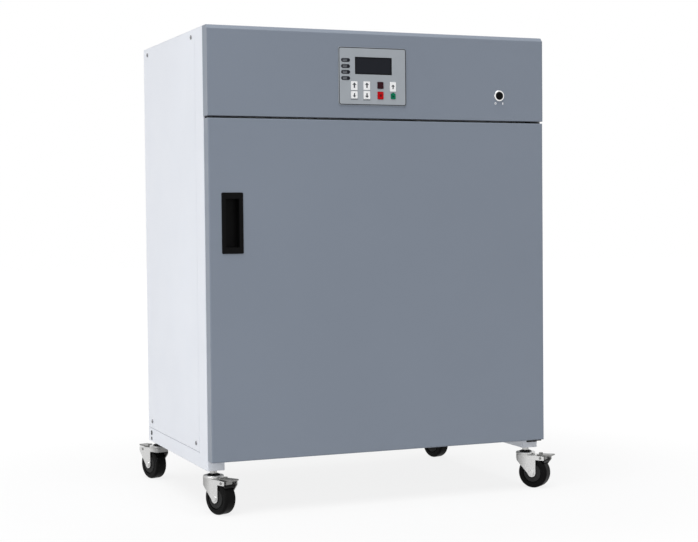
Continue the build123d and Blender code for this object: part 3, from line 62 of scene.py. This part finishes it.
# ---------------------------------------------------------------- material nodes
class Nodes:
    """A new material with one principled shader, and short calls that wire nodes to it."""

    def __init__(self, name, color, roughness, metallic=0.0, specular=0.5):
        self.material = bpy.data.materials.new(name)
        self.material.use_nodes = True
        self.tree = self.material.node_tree
        self.shader = self.tree.nodes["Principled BSDF"]
        self.color = color
        self.roughness = roughness
        self.set("Base Color", (*color, 1.0))
        self.set("Roughness", roughness)
        self.set("Metallic", metallic)
        self.set("Specular IOR Level", specular)
        self.place = self.new("ShaderNodeTexCoord").outputs["Object"]
        self.normal = None

    def new(self, kind, **settings):
        node = self.tree.nodes.new(kind)
        for key, value in settings.items():
            setattr(node, key, value)
        return node

    def set(self, socket, value):
        self.shader.inputs[socket].default_value = value

    def link(self, source, target):
        self.tree.links.new(source, target)

    def stretched(self, scale):
        """Object coordinates scaled on each axis."""
        mapping = self.new("ShaderNodeMapping")
        mapping.inputs["Scale"].default_value = scale
        self.link(self.place, mapping.inputs["Vector"])
        return mapping.outputs["Vector"]

    def noise(self, scale, detail=4.0, stretch=None):
        node = self.new("ShaderNodeTexNoise")
        node.inputs["Scale"].default_value = scale
        node.inputs["Detail"].default_value = detail
        vector = self.stretched(stretch) if stretch else self.place
        self.link(vector, node.inputs["Vector"])
        return node.outputs["Fac"]

    def ranged(self, factor, low, high, from_low=0.3, from_high=0.7):
        node = self.new("ShaderNodeMapRange")
        node.inputs["From Min"].default_value = from_low
        node.inputs["From Max"].default_value = from_high
        node.inputs["To Min"].default_value = low
        node.inputs["To Max"].default_value = high
        self.link(factor, node.inputs["Value"])
        return node.outputs["Result"]

    def mixed(self, factor, first, second):
        """Blend two colours, each a triple or a socket."""
        node = self.new("ShaderNodeMix", data_type="RGBA")
        colors = [socket for socket in node.inputs if socket.type == "RGBA"]
        self.link(factor, node.inputs[0])
        for socket, value in zip(colors, (first, second)):
            if isinstance(value, tuple):
                socket.default_value = (*value, 1.0)
            else:
                self.link(value, socket)
        return [socket for socket in node.outputs if socket.type == "RGBA"][0]

    def vary_color(self, factor, amount):
        """Let the base colour drift a little lighter and darker."""
        dark = tuple(channel * (1 - amount) for channel in self.color)
        light = tuple(min(1.0, channel * (1 + amount)) for channel in self.color)
        self.link(self.mixed(factor, dark, light), self.shader.inputs["Base Color"])

    def vary_roughness(self, factor, amount):
        low = max(0.02, self.roughness - amount)
        high = min(1.0, self.roughness + amount)
        self.link(self.ranged(factor, low, high), self.shader.inputs["Roughness"])

    def bevel(self, radius):
        """Soften hard edges in the shading."""
        node = self.new("ShaderNodeBevel", samples=6)
        node.inputs["Radius"].default_value = radius
        self.normal = node.outputs["Normal"]
        self.link(self.normal, self.shader.inputs["Normal"])

    def bump(self, height, strength, distance):
        node = self.new("ShaderNodeBump")
        node.inputs["Strength"].default_value = strength
        node.inputs["Distance"].default_value = distance
        self.link(height, node.inputs["Height"])
        if self.normal:
            self.link(self.normal, node.inputs["Normal"])
        self.normal = node.outputs["Normal"]
        self.link(self.normal, self.shader.inputs["Normal"])


def enamel(name, color, roughness=0.36, edge=1.5 * MM):
    """Baked paint on sheet steel: rounded edges, faint orange peel and slight mottling of its gloss."""
    nodes = Nodes(name, color, roughness)
    cloud = nodes.noise(3.0, 3.0)
    nodes.vary_color(nodes.ranged(cloud, 0.0, 1.0), 0.02)
    nodes.vary_roughness(nodes.noise(14.0), 0.05)
    nodes.bevel(edge)
    nodes.bump(nodes.noise(420.0, 2.0), 0.06, 0.2 * MM)
    return nodes.material


def brushed(name, color, roughness=0.3, stretch=(1.0, 60.0, 60.0), strength=0.08):
    """Rolled or brushed sheet: fine lines along one axis."""
    nodes = Nodes(name, color, roughness, metallic=1.0)
    lines = nodes.noise(22.0, 6.0, stretch)
    nodes.vary_color(nodes.ranged(nodes.noise(6.0), 0.0, 1.0), 0.06)
    nodes.vary_roughness(lines, 0.08)
    nodes.set("Anisotropic", 0.4)
    nodes.bevel(0.5 * MM)
    nodes.bump(lines, strength, 0.1 * MM)
    return nodes.material


def plated(name, color, roughness=0.28, metallic=1.0, clouds=0.10):
    """Zinc or nickel plating with soft clouds of tone."""
    nodes = Nodes(name, color, roughness, metallic)
    nodes.vary_color(nodes.ranged(nodes.noise(26.0, 2.0), 0.0, 1.0), clouds)
    nodes.vary_roughness(nodes.noise(90.0), 0.10)
    nodes.bevel(0.8 * MM)
    nodes.bump(nodes.noise(600.0, 3.0), 0.05, 0.1 * MM)
    return nodes.material


def moulded(name, color, roughness=0.45, grain=900.0, strength=0.12, variation=0.05, specular=0.35):
    """Moulded plastic or rubber with a fine spark-eroded grain."""
    nodes = Nodes(name, color, roughness, specular=specular)
    nodes.vary_color(nodes.ranged(nodes.noise(40.0), 0.0, 1.0), variation)
    nodes.vary_roughness(nodes.noise(120.0), 0.06)
    nodes.bevel(0.4 * MM)
    nodes.bump(nodes.noise(grain, 2.0), strength, 0.08 * MM)
    return nodes.material


def polished(name, color, roughness=0.08, metallic=0.0, specular=0.5):
    """A hard glossy surface with faint hairlines."""
    nodes = Nodes(name, color, roughness, metallic, specular)
    hairlines = nodes.noise(30.0, 4.0, (1.0, 1.0, 40.0))
    nodes.vary_color(nodes.ranged(nodes.noise(50.0), 0.0, 1.0), 0.04)
    nodes.vary_roughness(hairlines, 0.03)
    nodes.bump(hairlines, 0.02, 0.05 * MM)
    return nodes.material


def wool(name, color):
    """Mineral wool: matted fibres."""
    nodes = Nodes(name, color, 0.95)
    fibres = nodes.noise(180.0, 8.0, (1.0, 6.0, 1.0))
    nodes.vary_color(nodes.ranged(fibres, 0.0, 1.0), 0.25)
    nodes.bump(fibres, 0.8, 2.0 * MM)
    return nodes.material


def circuit(name, color):
    """Lacquered circuit board with copper tracks showing through."""
    nodes = Nodes(name, color, 0.35)
    cells = nodes.new("ShaderNodeTexVoronoi", feature="DISTANCE_TO_EDGE", distance="MANHATTAN")
    cells.inputs["Scale"].default_value = 180.0
    nodes.link(nodes.place, cells.inputs["Vector"])
    tracks = nodes.ranged(cells.outputs["Distance"], 1.0, 0.0, 0.05, 0.12)
    copper = tuple(channel * 2.2 for channel in color)
    nodes.link(nodes.mixed(tracks, color, copper), nodes.shader.inputs["Base Color"])
    nodes.bump(tracks, 0.3, 0.1 * MM)
    return nodes.material


def brake_paint(name):
    """Grey plated lever and pin, and a black rubber block below them."""
    nodes = Nodes(name, (0.22, 0.22, 0.22), 0.34, metallic=1.0)
    height = nodes.new("ShaderNodeSeparateXYZ")
    nodes.link(nodes.place, height.inputs[0])
    above = nodes.ranged(height.outputs["Z"], 0.0, 1.0, BRAKE_BLOCK_TOP, BRAKE_LEVER_BOTTOM)
    paint = nodes.mixed(above, RUBBER_BLACK, LEVER_GREY)
    nodes.link(paint, nodes.shader.inputs["Base Color"])
    nodes.link(nodes.ranged(above, 0.0, 1.0, 0.0, 1.0), nodes.shader.inputs["Metallic"])
    nodes.set("Specular IOR Level", 0.15)
    nodes.vary_roughness(nodes.noise(120.0), 0.08)
    nodes.bevel(0.5 * MM)
    nodes.bump(nodes.noise(700.0, 2.0), 0.06, 0.1 * MM)
    return nodes.material


def wheel_moulding(name, centre, axis):
    """Dark grey hub disc and black tyre, told apart by their distance from the axle."""
    nodes = Nodes(name, RUBBER_BLACK, 0.40, specular=0.06)
    from_centre = nodes.new("ShaderNodeVectorMath", operation="SUBTRACT")
    nodes.link(nodes.place, from_centre.inputs[0])
    from_centre.inputs[1].default_value = centre
    off_axis = nodes.new("ShaderNodeVectorMath", operation="CROSS_PRODUCT")
    nodes.link(from_centre.outputs[0], off_axis.inputs[0])
    off_axis.inputs[1].default_value = axis
    distance = nodes.new("ShaderNodeVectorMath", operation="LENGTH")
    nodes.link(off_axis.outputs[0], distance.inputs[0])
    tyre = nodes.ranged(distance.outputs["Value"], 0.0, 1.0, HUB_RADIUS, HUB_RADIUS + HUB_BLEND)
    nodes.link(nodes.mixed(tyre, HUB_GREY, RUBBER_BLACK), nodes.shader.inputs["Base Color"])
    nodes.vary_roughness(nodes.noise(120.0), 0.06)
    nodes.bevel(0.8 * MM)
    nodes.bump(nodes.noise(500.0, 2.0), 0.15, 0.08 * MM)
    return nodes.material


def fork_painted_reflection(name, stem, axle):
    """Zinc plating of a caster's fork with a painted reflection: darker at the leading end, lighter towards the
    axle.
    """
    nodes = Nodes(name, FORK_PAINTED_SHEEN, 0.30, metallic=0.8)
    from_stem = nodes.new("ShaderNodeVectorMath", operation="SUBTRACT")
    nodes.link(nodes.place, from_stem.inputs[0])
    from_stem.inputs[1].default_value = stem
    along = nodes.new("ShaderNodeVectorMath", operation="DOT_PRODUCT")
    nodes.link(from_stem.outputs[0], along.inputs[0])
    along.inputs[1].default_value = Vector((axle[0] - stem[0], axle[1] - stem[1], 0)).normalized()
    # painted reflection: the colour runs from dark at the fork's leading end to light towards the axle
    painted_sheen_mask = nodes.ranged(along.outputs["Value"], 0.0, 1.0, FORK_PAINTED_SHADE_END, FORK_PAINTED_SHEEN_END)
    nodes.link(nodes.mixed(painted_sheen_mask, FORK_PAINTED_SHADE, FORK_PAINTED_SHEEN), nodes.shader.inputs["Base Color"])
    nodes.vary_roughness(nodes.noise(90.0), 0.06)
    nodes.bevel(1.2 * MM)
    nodes.bump(nodes.noise(600.0, 3.0), 0.03, 0.1 * MM)
    return nodes.material


# Painted reflection on the caster forks: its dark and light colours and where its ramp starts and ends.
FORK_PAINTED_SHADE = (0.24, 0.24, 0.24)
FORK_PAINTED_SHEEN = (0.64, 0.64, 0.635)
FORK_PAINTED_SHADE_END = -17.0 * MM
FORK_PAINTED_SHEEN_END = 10.0 * MM
HUB_RADIUS = 19.2 * MM
HUB_BLEND = 0.4 * MM
HUB_GREY = (0.028, 0.028, 0.028)
RUBBER_BLACK = (0.004, 0.004, 0.004)
LEVER_GREY = (0.24, 0.24, 0.235)
BRAKE_BLOCK_TOP = 0.0608
BRAKE_LEVER_BOTTOM = 0.0612
WHITE = (0.80, 0.83, 0.895)
GREY = (0.206, 0.240, 0.297)
MATERIALS = {
    "white_paint": enamel("white_enamel", WHITE),
    "grey_paint": enamel("grey_enamel", GREY, 0.42, 2.4 * MM),
    "zinc_sheet": brushed("zinc_sheet", (0.60, 0.61, 0.62), 0.38),
    "screw_steel": plated("dark_screw", (0.22, 0.22, 0.23), 0.35),
    "blackened_steel": plated("blackened_steel", (0.025, 0.025, 0.027), 0.45, 0.6),
    "stainless": brushed("stainless", (0.62, 0.62, 0.61), 0.30),
    "heater_steel": plated("heater_steel", (0.22, 0.19, 0.17), 0.5),
    "mineral_wool": wool("mineral_wool", (0.70, 0.62, 0.38)),
    "silicone": moulded("silicone_seal", (0.05, 0.05, 0.055), 0.55),
    "black_plastic": moulded("black_plastic", (0.0035, 0.0035, 0.0038), 0.36, specular=0.06),
    "panel_film": moulded("panel_film", (0.37, 0.40, 0.435), 0.42, strength=0.05, variation=0.02),
    "dark_window": polished("dark_window", (0.014, 0.0155, 0.021), 0.22, specular=0.08),
    "circuit": circuit("circuit_board", (0.02, 0.16, 0.06)),
    "white_key": moulded("white_key", (0.93, 0.94, 0.95), 0.4, strength=0.05, variation=0.01),
    "dark_red_key": moulded("dark_red_key", (0.030, 0.006, 0.010), 0.45, strength=0.05, specular=0.1),
    "red_key": moulded("red_key", (0.50, 0.003, 0.006), 0.45, strength=0.05, specular=0.1),
    "green_key": moulded("green_key", (0.002, 0.17, 0.085), 0.45, strength=0.05, specular=0.1),
    "chrome": polished("chrome", (0.82, 0.82, 0.82), 0.08, 1.0),
    "cast_aluminium": plated("cast_aluminium", (0.52, 0.53, 0.54), 0.45),
    "caster_zinc": plated("caster_zinc", (0.50, 0.50, 0.495), 0.30, 0.8, 0.28),
    "tyre_black": moulded("tyre_black", RUBBER_BLACK, 0.42, grain=500.0, strength=0.2, specular=0.10),
    "brake_grey": brake_paint("brake_grey"),
}


def dress_cad_nodes():
    """Give every CAD node the material of its slot."""
    slots = {entry["node"]: entry["material_slot"] for entry in frame["record"]["subparts"]}
    joints = {joint["name"]: joint for joint in frame["joints"]}
    for node, slot in slots.items():
        material = MATERIALS[slot]
        if node.startswith("caster_wheel_"):
            roll = joints[node.replace("caster_wheel", "roll")]
            material = wheel_moulding(node + "_moulding", roll["pos_m"], roll["axis"])
        # the forks get a colour ramp that paints in a reflection
        if node.startswith("caster_fork_"):
            stem = joints[node.replace("caster_fork", "swivel")]["pos_m"]
            axle = joints[node.replace("caster_fork", "roll")]["pos_m"]
            material = fork_painted_reflection(node + "_painted_reflection", stem, axle)
        obj = frame["nodes"][node]
        obj.data.materials.clear()
        obj.data.materials.append(material)


# ---------------------------------------------------------------- mesh helpers
def piece(name, mesh, material, body, smooth=False):
    """Put a mesh in the scene as one piece that rides on a body."""
    obj = bpy.data.objects.new(name, mesh)
    bpy.context.collection.objects.link(obj)
    mesh.materials.append(material)
    if smooth:
        for polygon in mesh.polygons:
            polygon.use_smooth = True
        mesh.set_sharp_from_angle(angle=math.radians(35))
    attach(obj, body)
    return obj


def flat_shapes(name, outlines, front_y, depth, material, body):
    """Thin raised shapes on a front face. An outline is a list of (x, z) points."""
    mesh = bpy.data.meshes.new(name)
    work = bmesh.new()
    for outline in outlines:
        verts = [work.verts.new((x, front_y, z)) for x, z in outline]
        face = work.faces.new(verts)
        result = bmesh.ops.extrude_face_region(work, geom=[face])
        moved = [item for item in result["geom"] if isinstance(item, bmesh.types.BMVert)]
        bmesh.ops.translate(work, verts=moved, vec=(0, -depth, 0))
    bmesh.ops.recalc_face_normals(work, faces=work.faces)
    work.to_mesh(mesh)
    work.free()
    return piece(name, mesh, material, body)


def rectangle(x, z, width, height):
    """Outline of an upright rectangle about its middle."""
    w, h = width / 2, height / 2
    return [(x - w, z - h), (x + w, z - h), (x + w, z + h), (x - w, z + h)]


def rounded_frame(x, z, width, height, corner, line, steps=8):
    """A rounded rectangular frame as a row of quads."""
    quads = []
    outer = []
    inner = []
    for sign_x, sign_z, start in ((1, 1, 0), (-1, 1, 90), (-1, -1, 180), (1, -1, 270)):
        corner_x = x + sign_x * (width / 2 - corner)
        corner_z = z + sign_z * (height / 2 - corner)
        for step in range(steps + 1):
            angle = math.radians(start + 90 * step / steps)
            outer.append((corner_x + corner * math.cos(angle), corner_z + corner * math.sin(angle)))
            reach = corner - line
            inner.append((corner_x + reach * math.cos(angle), corner_z + reach * math.sin(angle)))
    for index in range(len(outer)):
        after = (index + 1) % len(outer)
        quads.append([inner[index], outer[index], outer[after], inner[after]])
    return quads


def arrow(x, z, size, up=True):
    """Outline of an arrow that points up or down."""
    s = size if up else -size
    shaft = 0.14
    head = 0.42
    neck = 0.05
    points = [(-shaft, -0.5), (shaft, -0.5), (shaft, neck), (head, neck), (0, 0.5), (-head, neck), (-shaft, neck)]
    outline = [(x + px * abs(s), z + pz * s) for px, pz in points]
    return outline if up else outline[::-1]


def ring_outlines(x, z, outer, inner, count=32):
    """A flat ring as a row of quads."""
    quads = []
    for step in range(count):
        a = 2 * math.pi * step / count
        b = 2 * math.pi * (step + 1) / count
        quads.append([
            (x + inner * math.cos(a), z + inner * math.sin(a)),
            (x + outer * math.cos(a), z + outer * math.sin(a)),
            (x + outer * math.cos(b), z + outer * math.sin(b)),
            (x + inner * math.cos(b), z + inner * math.sin(b)),
        ])
    return quads


def turned(name, profile, axis_origin, axis, material, body, steps=48):
    """A solid of revolution. The profile is a list of (radius, distance along the axis)."""
    mesh = bpy.data.meshes.new(name)
    work = bmesh.new()
    turn = Vector((0, 0, 1)).rotation_difference(Vector(axis)).to_matrix()
    rings = []
    for radius, along in profile:
        ring = []
        for step in range(steps):
            angle = 2 * math.pi * step / steps
            point = Vector((radius * math.cos(angle), radius * math.sin(angle), along))
            ring.append(work.verts.new(Vector(axis_origin) + turn @ point))
        rings.append(ring)
    for first, second in zip(rings, rings[1:]):
        for step in range(steps):
            after = (step + 1) % steps
            work.faces.new((first[step], first[after], second[after], second[step]))
    work.faces.new(rings[0][::-1])
    work.faces.new(rings[-1])
    bmesh.ops.recalc_face_normals(work, faces=work.faces)
    work.to_mesh(mesh)
    work.free()
    return piece(name, mesh, material, body, smooth=True)


# ---------------------------------------------------------------- controls
RED_INK = moulded("red_ink", (0.12, 0.004, 0.006), 0.5, variation=0.02, specular=0.1)
GREEN_INK = moulded("green_ink", (0.004, 0.045, 0.025), 0.5, variation=0.02, specular=0.1)
LINE_INK = moulded("grey_ink", (0.055, 0.06, 0.07), 0.5, variation=0.02)
LENS_INK = moulded("lens_ink", (0.22, 0.235, 0.26), 0.5, variation=0.02)
PANEL_EDGE_DARK = moulded("panel_edge_dark", (0.022, 0.027, 0.034), 0.5, variation=0.02, specular=0.1)
LIGHT_INK = moulded("light_ink", (0.90, 0.91, 0.93), 0.5, variation=0.02)
FRAME_BLACK = moulded("window_frame", (0.006, 0.0065, 0.008), 0.4, variation=0.02, specular=0.08)
INK_DEPTH = 0.06 * MM
LENS_COUNT = 4
LENS_SIZE = (18.6 * MM, 7.3 * MM)


def dress_panel():
    """A dark edge line, the window frame, and printed key lines of the controller panel."""
    front = panel_low.y
    middle_x = (panel_low.x + panel_high.x) / 2
    middle_z = (panel_low.z + panel_high.z) / 2
    width = panel_high.x - panel_low.x
    height = panel_high.z - panel_low.z
    margin = 0.6 * MM
    line = 1.5 * MM
    # a dark line just inside the panel's edge
    border = rounded_frame(middle_x, middle_z, width - 2 * margin, height - 2 * margin, 4.4 * MM, line)
    flat_shapes("panel_edge_line", border, front, INK_DEPTH, PANEL_EDGE_DARK, "cabinet")
    x = (display_low.x + display_high.x) / 2
    z = (display_low.z + display_high.z) / 2
    w = display_high.x - display_low.x
    h = display_high.z - display_low.z
    rim = 2.2 * MM
    frame_bars = [
        rectangle(x, display_low.z + rim / 2, w, rim),
        rectangle(x, display_high.z - rim / 2, w, rim),
        rectangle(display_low.x + rim / 2, z, rim, h - 2 * rim),
        rectangle(display_high.x - rim / 2, z, rim, h - 2 * rim),
    ]
    flat_shapes("display_frame", frame_bars, display_low.y, 0.3 * MM, FRAME_BLACK, "cabinet")
    # a fine line under each pair of stepping keys
    for upper, lower in (("key_up_coarse", "key_down_coarse"), ("key_up_fine", "key_down_fine")):
        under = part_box(lower)[0]
        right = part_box(lower)[1].x
        bar = rectangle((under.x + right) / 2, under.z - 1.4 * MM, right - under.x, 0.7 * MM)
        flat_shapes(lower + "_line", [bar], front, INK_DEPTH, LINE_INK, "cabinet")
    # two short printed bars on the left of each indicator lens
    lens_low, lens_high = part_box("indicator_lenses")
    lens_width, lens_height = LENS_SIZE
    pitch = (lens_high.z - lens_low.z - lens_height) / (LENS_COUNT - 1)
    bars = []
    for index in range(LENS_COUNT):
        bar_x = lens_low.x + 0.40 * lens_width
        lens_z = lens_low.z + lens_height / 2 + index * pitch
        for side in (-1, 1):
            bar_z = lens_z + side * 0.2 * lens_height
            bars.append(rectangle(bar_x, bar_z, 0.5 * lens_width, 0.16 * lens_height))
    flat_shapes("lens_bars", bars, lens_low.y, INK_DEPTH, LENS_INK, "cabinet")


def paint_gap_shade():
    """Painted shade: a black strip on the frame behind the gap between fascia and door, so the gap looks dark."""
    depth = 1.2 * MM
    lap = 3.0 * MM
    clear = 0.4 * MM
    frame_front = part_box("front_frame")[0].y
    low = door_high.z - lap
    high = fascia_low.z - clear
    strip = [rectangle(cabinet_middle_x, (low + high) / 2, door_high.x - door_low.x - 2 * lap, high - low)]
    # painted shade: a black strip behind the gap
    flat_shapes("gap_painted_shade", strip, frame_front, depth, MATERIALS["black_plastic"], "cabinet")


def key_face(node):
    """Middle, width, height and front of a key's cap. The cap is inside the node's flange."""
    low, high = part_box(node)
    margin = 0.6 * MM
    return (
        (low.x + high.x) / 2,
        (low.z + high.z) / 2,
        high.x - low.x - 2 * margin,
        high.z - low.z - 2 * margin,
        low.y,
    )


def dress_keys():
    """Arrows on the keys that step a value and on the timer key, a triangle on the start key and a square on the
    stop key.
    """
    for node, up in (
        ("key_up_coarse", True),
        ("key_down_coarse", False),
        ("key_up_fine", True),
        ("key_down_fine", False),
    ):
        x, z, width, height, front = key_face(node)
        shift = (1 if up else -1) * 0.06 * height
        outline = arrow(x, z + shift, 0.62 * height, up)
        flat_shapes(node + "_arrow", [outline], front, INK_DEPTH, LINE_INK, node)
    x, z, width, height, front = key_face("key_timer")
    mark = arrow(x, z, 0.5 * height, True)
    flat_shapes("key_timer_arrow", [mark], front, INK_DEPTH, LINE_INK, "key_timer")
    x, z, width, height, front = key_face("key_start")
    start_mark = [(x - 2.2 * MM, z - 4.2 * MM), (x + 2.6 * MM, z - 1.6 * MM), (x - 2.2 * MM, z + 1.0 * MM)]
    flat_shapes("key_start_mark", [start_mark], front, INK_DEPTH, GREEN_INK, "key_start")
    x, z, width, height, front = key_face("key_stop")
    stop_mark = [rectangle(x, z, 0.36 * width, 0.36 * width)]
    flat_shapes("key_stop_mark", stop_mark, front, INK_DEPTH, RED_INK, "key_stop")


def dress_switch():
    """The circle and bar printed below the power switch for off and on."""
    x = (bezel_low.x + bezel_high.x) / 2
    drop = 15.7 * MM
    spread = 8.4 * MM
    z = (bezel_low.z + bezel_high.z) / 2 - drop
    front = fascia_low.y
    ring = ring_outlines(x - spread, z, 2.4 * MM, 1.0 * MM)
    bar = [rectangle(x + spread, z, 2.2 * MM, 4.6 * MM)]
    flat_shapes("switch_off_mark", ring, front, INK_DEPTH, LIGHT_INK, "cabinet")
    flat_shapes("switch_on_mark", bar, front, INK_DEPTH, LIGHT_INK, "cabinet")


# ---------------------------------------------------------------- casters
def dress_casters():
    """Dust rings round the stems."""
    joints = {joint["name"]: joint for joint in frame["joints"]}
    for name in CASTERS:
        x, y, z = joints["swivel_" + name]["pos_m"]
        base = 75.6 * MM
        top = base + 2.6 * MM
        bore = 6.4 * MM
        profile = [
            (bore, base),
            (13.0 * MM, base),
            (12.6 * MM, base + 1.2 * MM),
            (10.0 * MM, top),
            (bore, top),
        ]
        turned("dust_ring_" + name, profile, (x, y, 0), (0, 0, 1), MATERIALS["black_plastic"], "cabinet")


# ---------------------------------------------------------------- stage
WORLD_STRENGTH = 0.43
OVERHEAD_STRENGTH = 2.35
SOFT_BOX_POWER = 17.0
FLOOR_WHITENESS = 0.80
FLOOR_COLOR = (0.60, 0.60, 0.60, 1.0)
FLOOR_FADE_START = 0.55
FLOOR_FADE_END = 1.5
FLOOR_GLOW = 1.04


def place_camera():
    """The photograph's view: from the front left, a little above the door's middle."""
    focal_pixels = 1562.35
    principal_x = 430.0
    from_door = Vector((-1.1725, -2.9084, 0.4752))
    yaw, pitch, roll = -0.4126, -0.0360, 0.0076
    data = bpy.data.cameras.new("camera")
    data.sensor_fit = "HORIZONTAL"
    data.sensor_width = SENSOR_WIDTH
    data.lens = focal_pixels / IMAGE_WIDTH * SENSOR_WIDTH
    data.shift_x = (IMAGE_WIDTH / 2 - principal_x) / IMAGE_WIDTH
    camera = bpy.data.objects.new("camera", data)
    bpy.context.collection.objects.link(camera)
    turn = Matrix.Rotation(yaw, 3, "Z") @ Matrix.Rotation(pitch, 3, "X") @ Matrix.Rotation(roll, 3, "Y")
    look = (turn @ Matrix.Rotation(math.radians(90), 3, "X")).to_4x4()
    spot = Vector((cabinet_middle_x, door_low.y, door_low.z)) + from_door
    camera.matrix_world = Matrix.Translation(spot) @ look
    bpy.context.scene.camera = camera


def aimed(name, data, place, target):
    """Put a lamp in the scene, looking at a point and unseen by the camera."""
    lamp = bpy.data.objects.new(name, data)
    bpy.context.collection.objects.link(lamp)
    lamp.location = place
    lamp.rotation_euler = (Vector(target) - Vector(place)).to_track_quat("-Z", "Y").to_euler()
    lamp.visible_camera = False


def light_scene():
    """One broad soft light from above the front, and a soft box at the left."""
    middle = (cabinet_middle_x, 0.0, 0.5)
    overhead = bpy.data.lights.new("overhead", "SUN")
    overhead.energy = OVERHEAD_STRENGTH
    overhead.angle = math.radians(50)
    aimed("overhead", overhead, (-0.62, -0.78, 3.4), middle)
    soft_box = bpy.data.lights.new("soft_box", "AREA")
    soft_box.shape = "SQUARE"
    soft_box.size = 2.0
    soft_box.energy = SOFT_BOX_POWER
    aimed("soft_box", soft_box, (-2.6, -1.5, 0.9), middle)


def seen_directly(tree):
    """1 for rays of the camera, of reflections and of glass, 0 for light that falls on things."""
    path = tree.nodes.new("ShaderNodeLightPath")
    factor = path.outputs["Is Camera Ray"]
    for ray in ("Is Glossy Ray", "Is Transmission Ray"):
        either = tree.nodes.new("ShaderNodeMath")
        either.operation = "MAXIMUM"
        tree.links.new(factor, either.inputs[0])
        tree.links.new(path.outputs[ray], either.inputs[1])
        factor = either.outputs[0]
    return factor


def light_world():
    """Even light from all round, and a white background where it is seen directly."""
    world = bpy.data.worlds.new("studio")
    bpy.context.scene.world = world
    world.use_nodes = True
    tree = world.node_tree
    background = tree.nodes["Background"]
    background.inputs["Color"].default_value = (1.0, 1.0, 1.0, 1.0)
    strength = tree.nodes.new("ShaderNodeMapRange")
    strength.inputs["To Min"].default_value = WORLD_STRENGTH
    strength.inputs["To Max"].default_value = 1.0
    tree.links.new(seen_directly(tree), strength.inputs["Value"])
    tree.links.new(strength.outputs["Result"], background.inputs["Strength"])


def lay_floor():
    """A wide pale floor with the object's soft shadow. Away from the object it is seen as white."""
    mesh = bpy.data.meshes.new("floor")
    reach = 14.0
    corners = [(-reach, -reach, 0), (reach, -reach, 0), (reach, reach, 0), (-reach, reach, 0)]
    mesh.from_pydata(corners, [], [(0, 1, 2, 3)])
    floor = bpy.data.objects.new("floor", mesh)
    bpy.context.collection.objects.link(floor)
    material = bpy.data.materials.new("pale_floor")
    material.use_nodes = True
    tree = material.node_tree
    shader = tree.nodes["Principled BSDF"]
    shader.inputs["Base Color"].default_value = FLOOR_COLOR
    shader.inputs["Roughness"].default_value = 0.9
    shader.inputs["Specular IOR Level"].default_value = 0.0
    place = tree.nodes.new("ShaderNodeTexCoord")
    distance = tree.nodes.new("ShaderNodeVectorMath")
    distance.operation = "LENGTH"
    tree.links.new(place.outputs["Object"], distance.inputs[0])
    whiteness = tree.nodes.new("ShaderNodeMapRange")
    whiteness.interpolation_type = "SMOOTHSTEP"
    whiteness.inputs["From Min"].default_value = FLOOR_FADE_START
    whiteness.inputs["From Max"].default_value = FLOOR_FADE_END
    whiteness.inputs["To Min"].default_value = FLOOR_WHITENESS
    whiteness.inputs["To Max"].default_value = 1.0
    tree.links.new(distance.outputs["Value"], whiteness.inputs["Value"])
    share = tree.nodes.new("ShaderNodeMath")
    share.operation = "MULTIPLY"
    tree.links.new(whiteness.outputs["Result"], share.inputs[0])
    tree.links.new(seen_directly(tree), share.inputs[1])
    white = tree.nodes.new("ShaderNodeEmission")
    white.inputs["Strength"].default_value = FLOOR_GLOW
    blend = tree.nodes.new("ShaderNodeMixShader")
    tree.links.new(share.outputs[0], blend.inputs["Fac"])
    tree.links.new(shader.outputs[0], blend.inputs[1])
    tree.links.new(white.outputs[0], blend.inputs[2])
    tree.links.new(blend.outputs[0], tree.nodes["Material Output"].inputs["Surface"])
    mesh.materials.append(material)


dress_cad_nodes()
dress_panel()
paint_gap_shade()
dress_keys()
dress_switch()
dress_casters()
place_camera()
light_world()
lay_floor()
light_scene()
bpy.context.scene.view_settings.view_transform = "Standard"
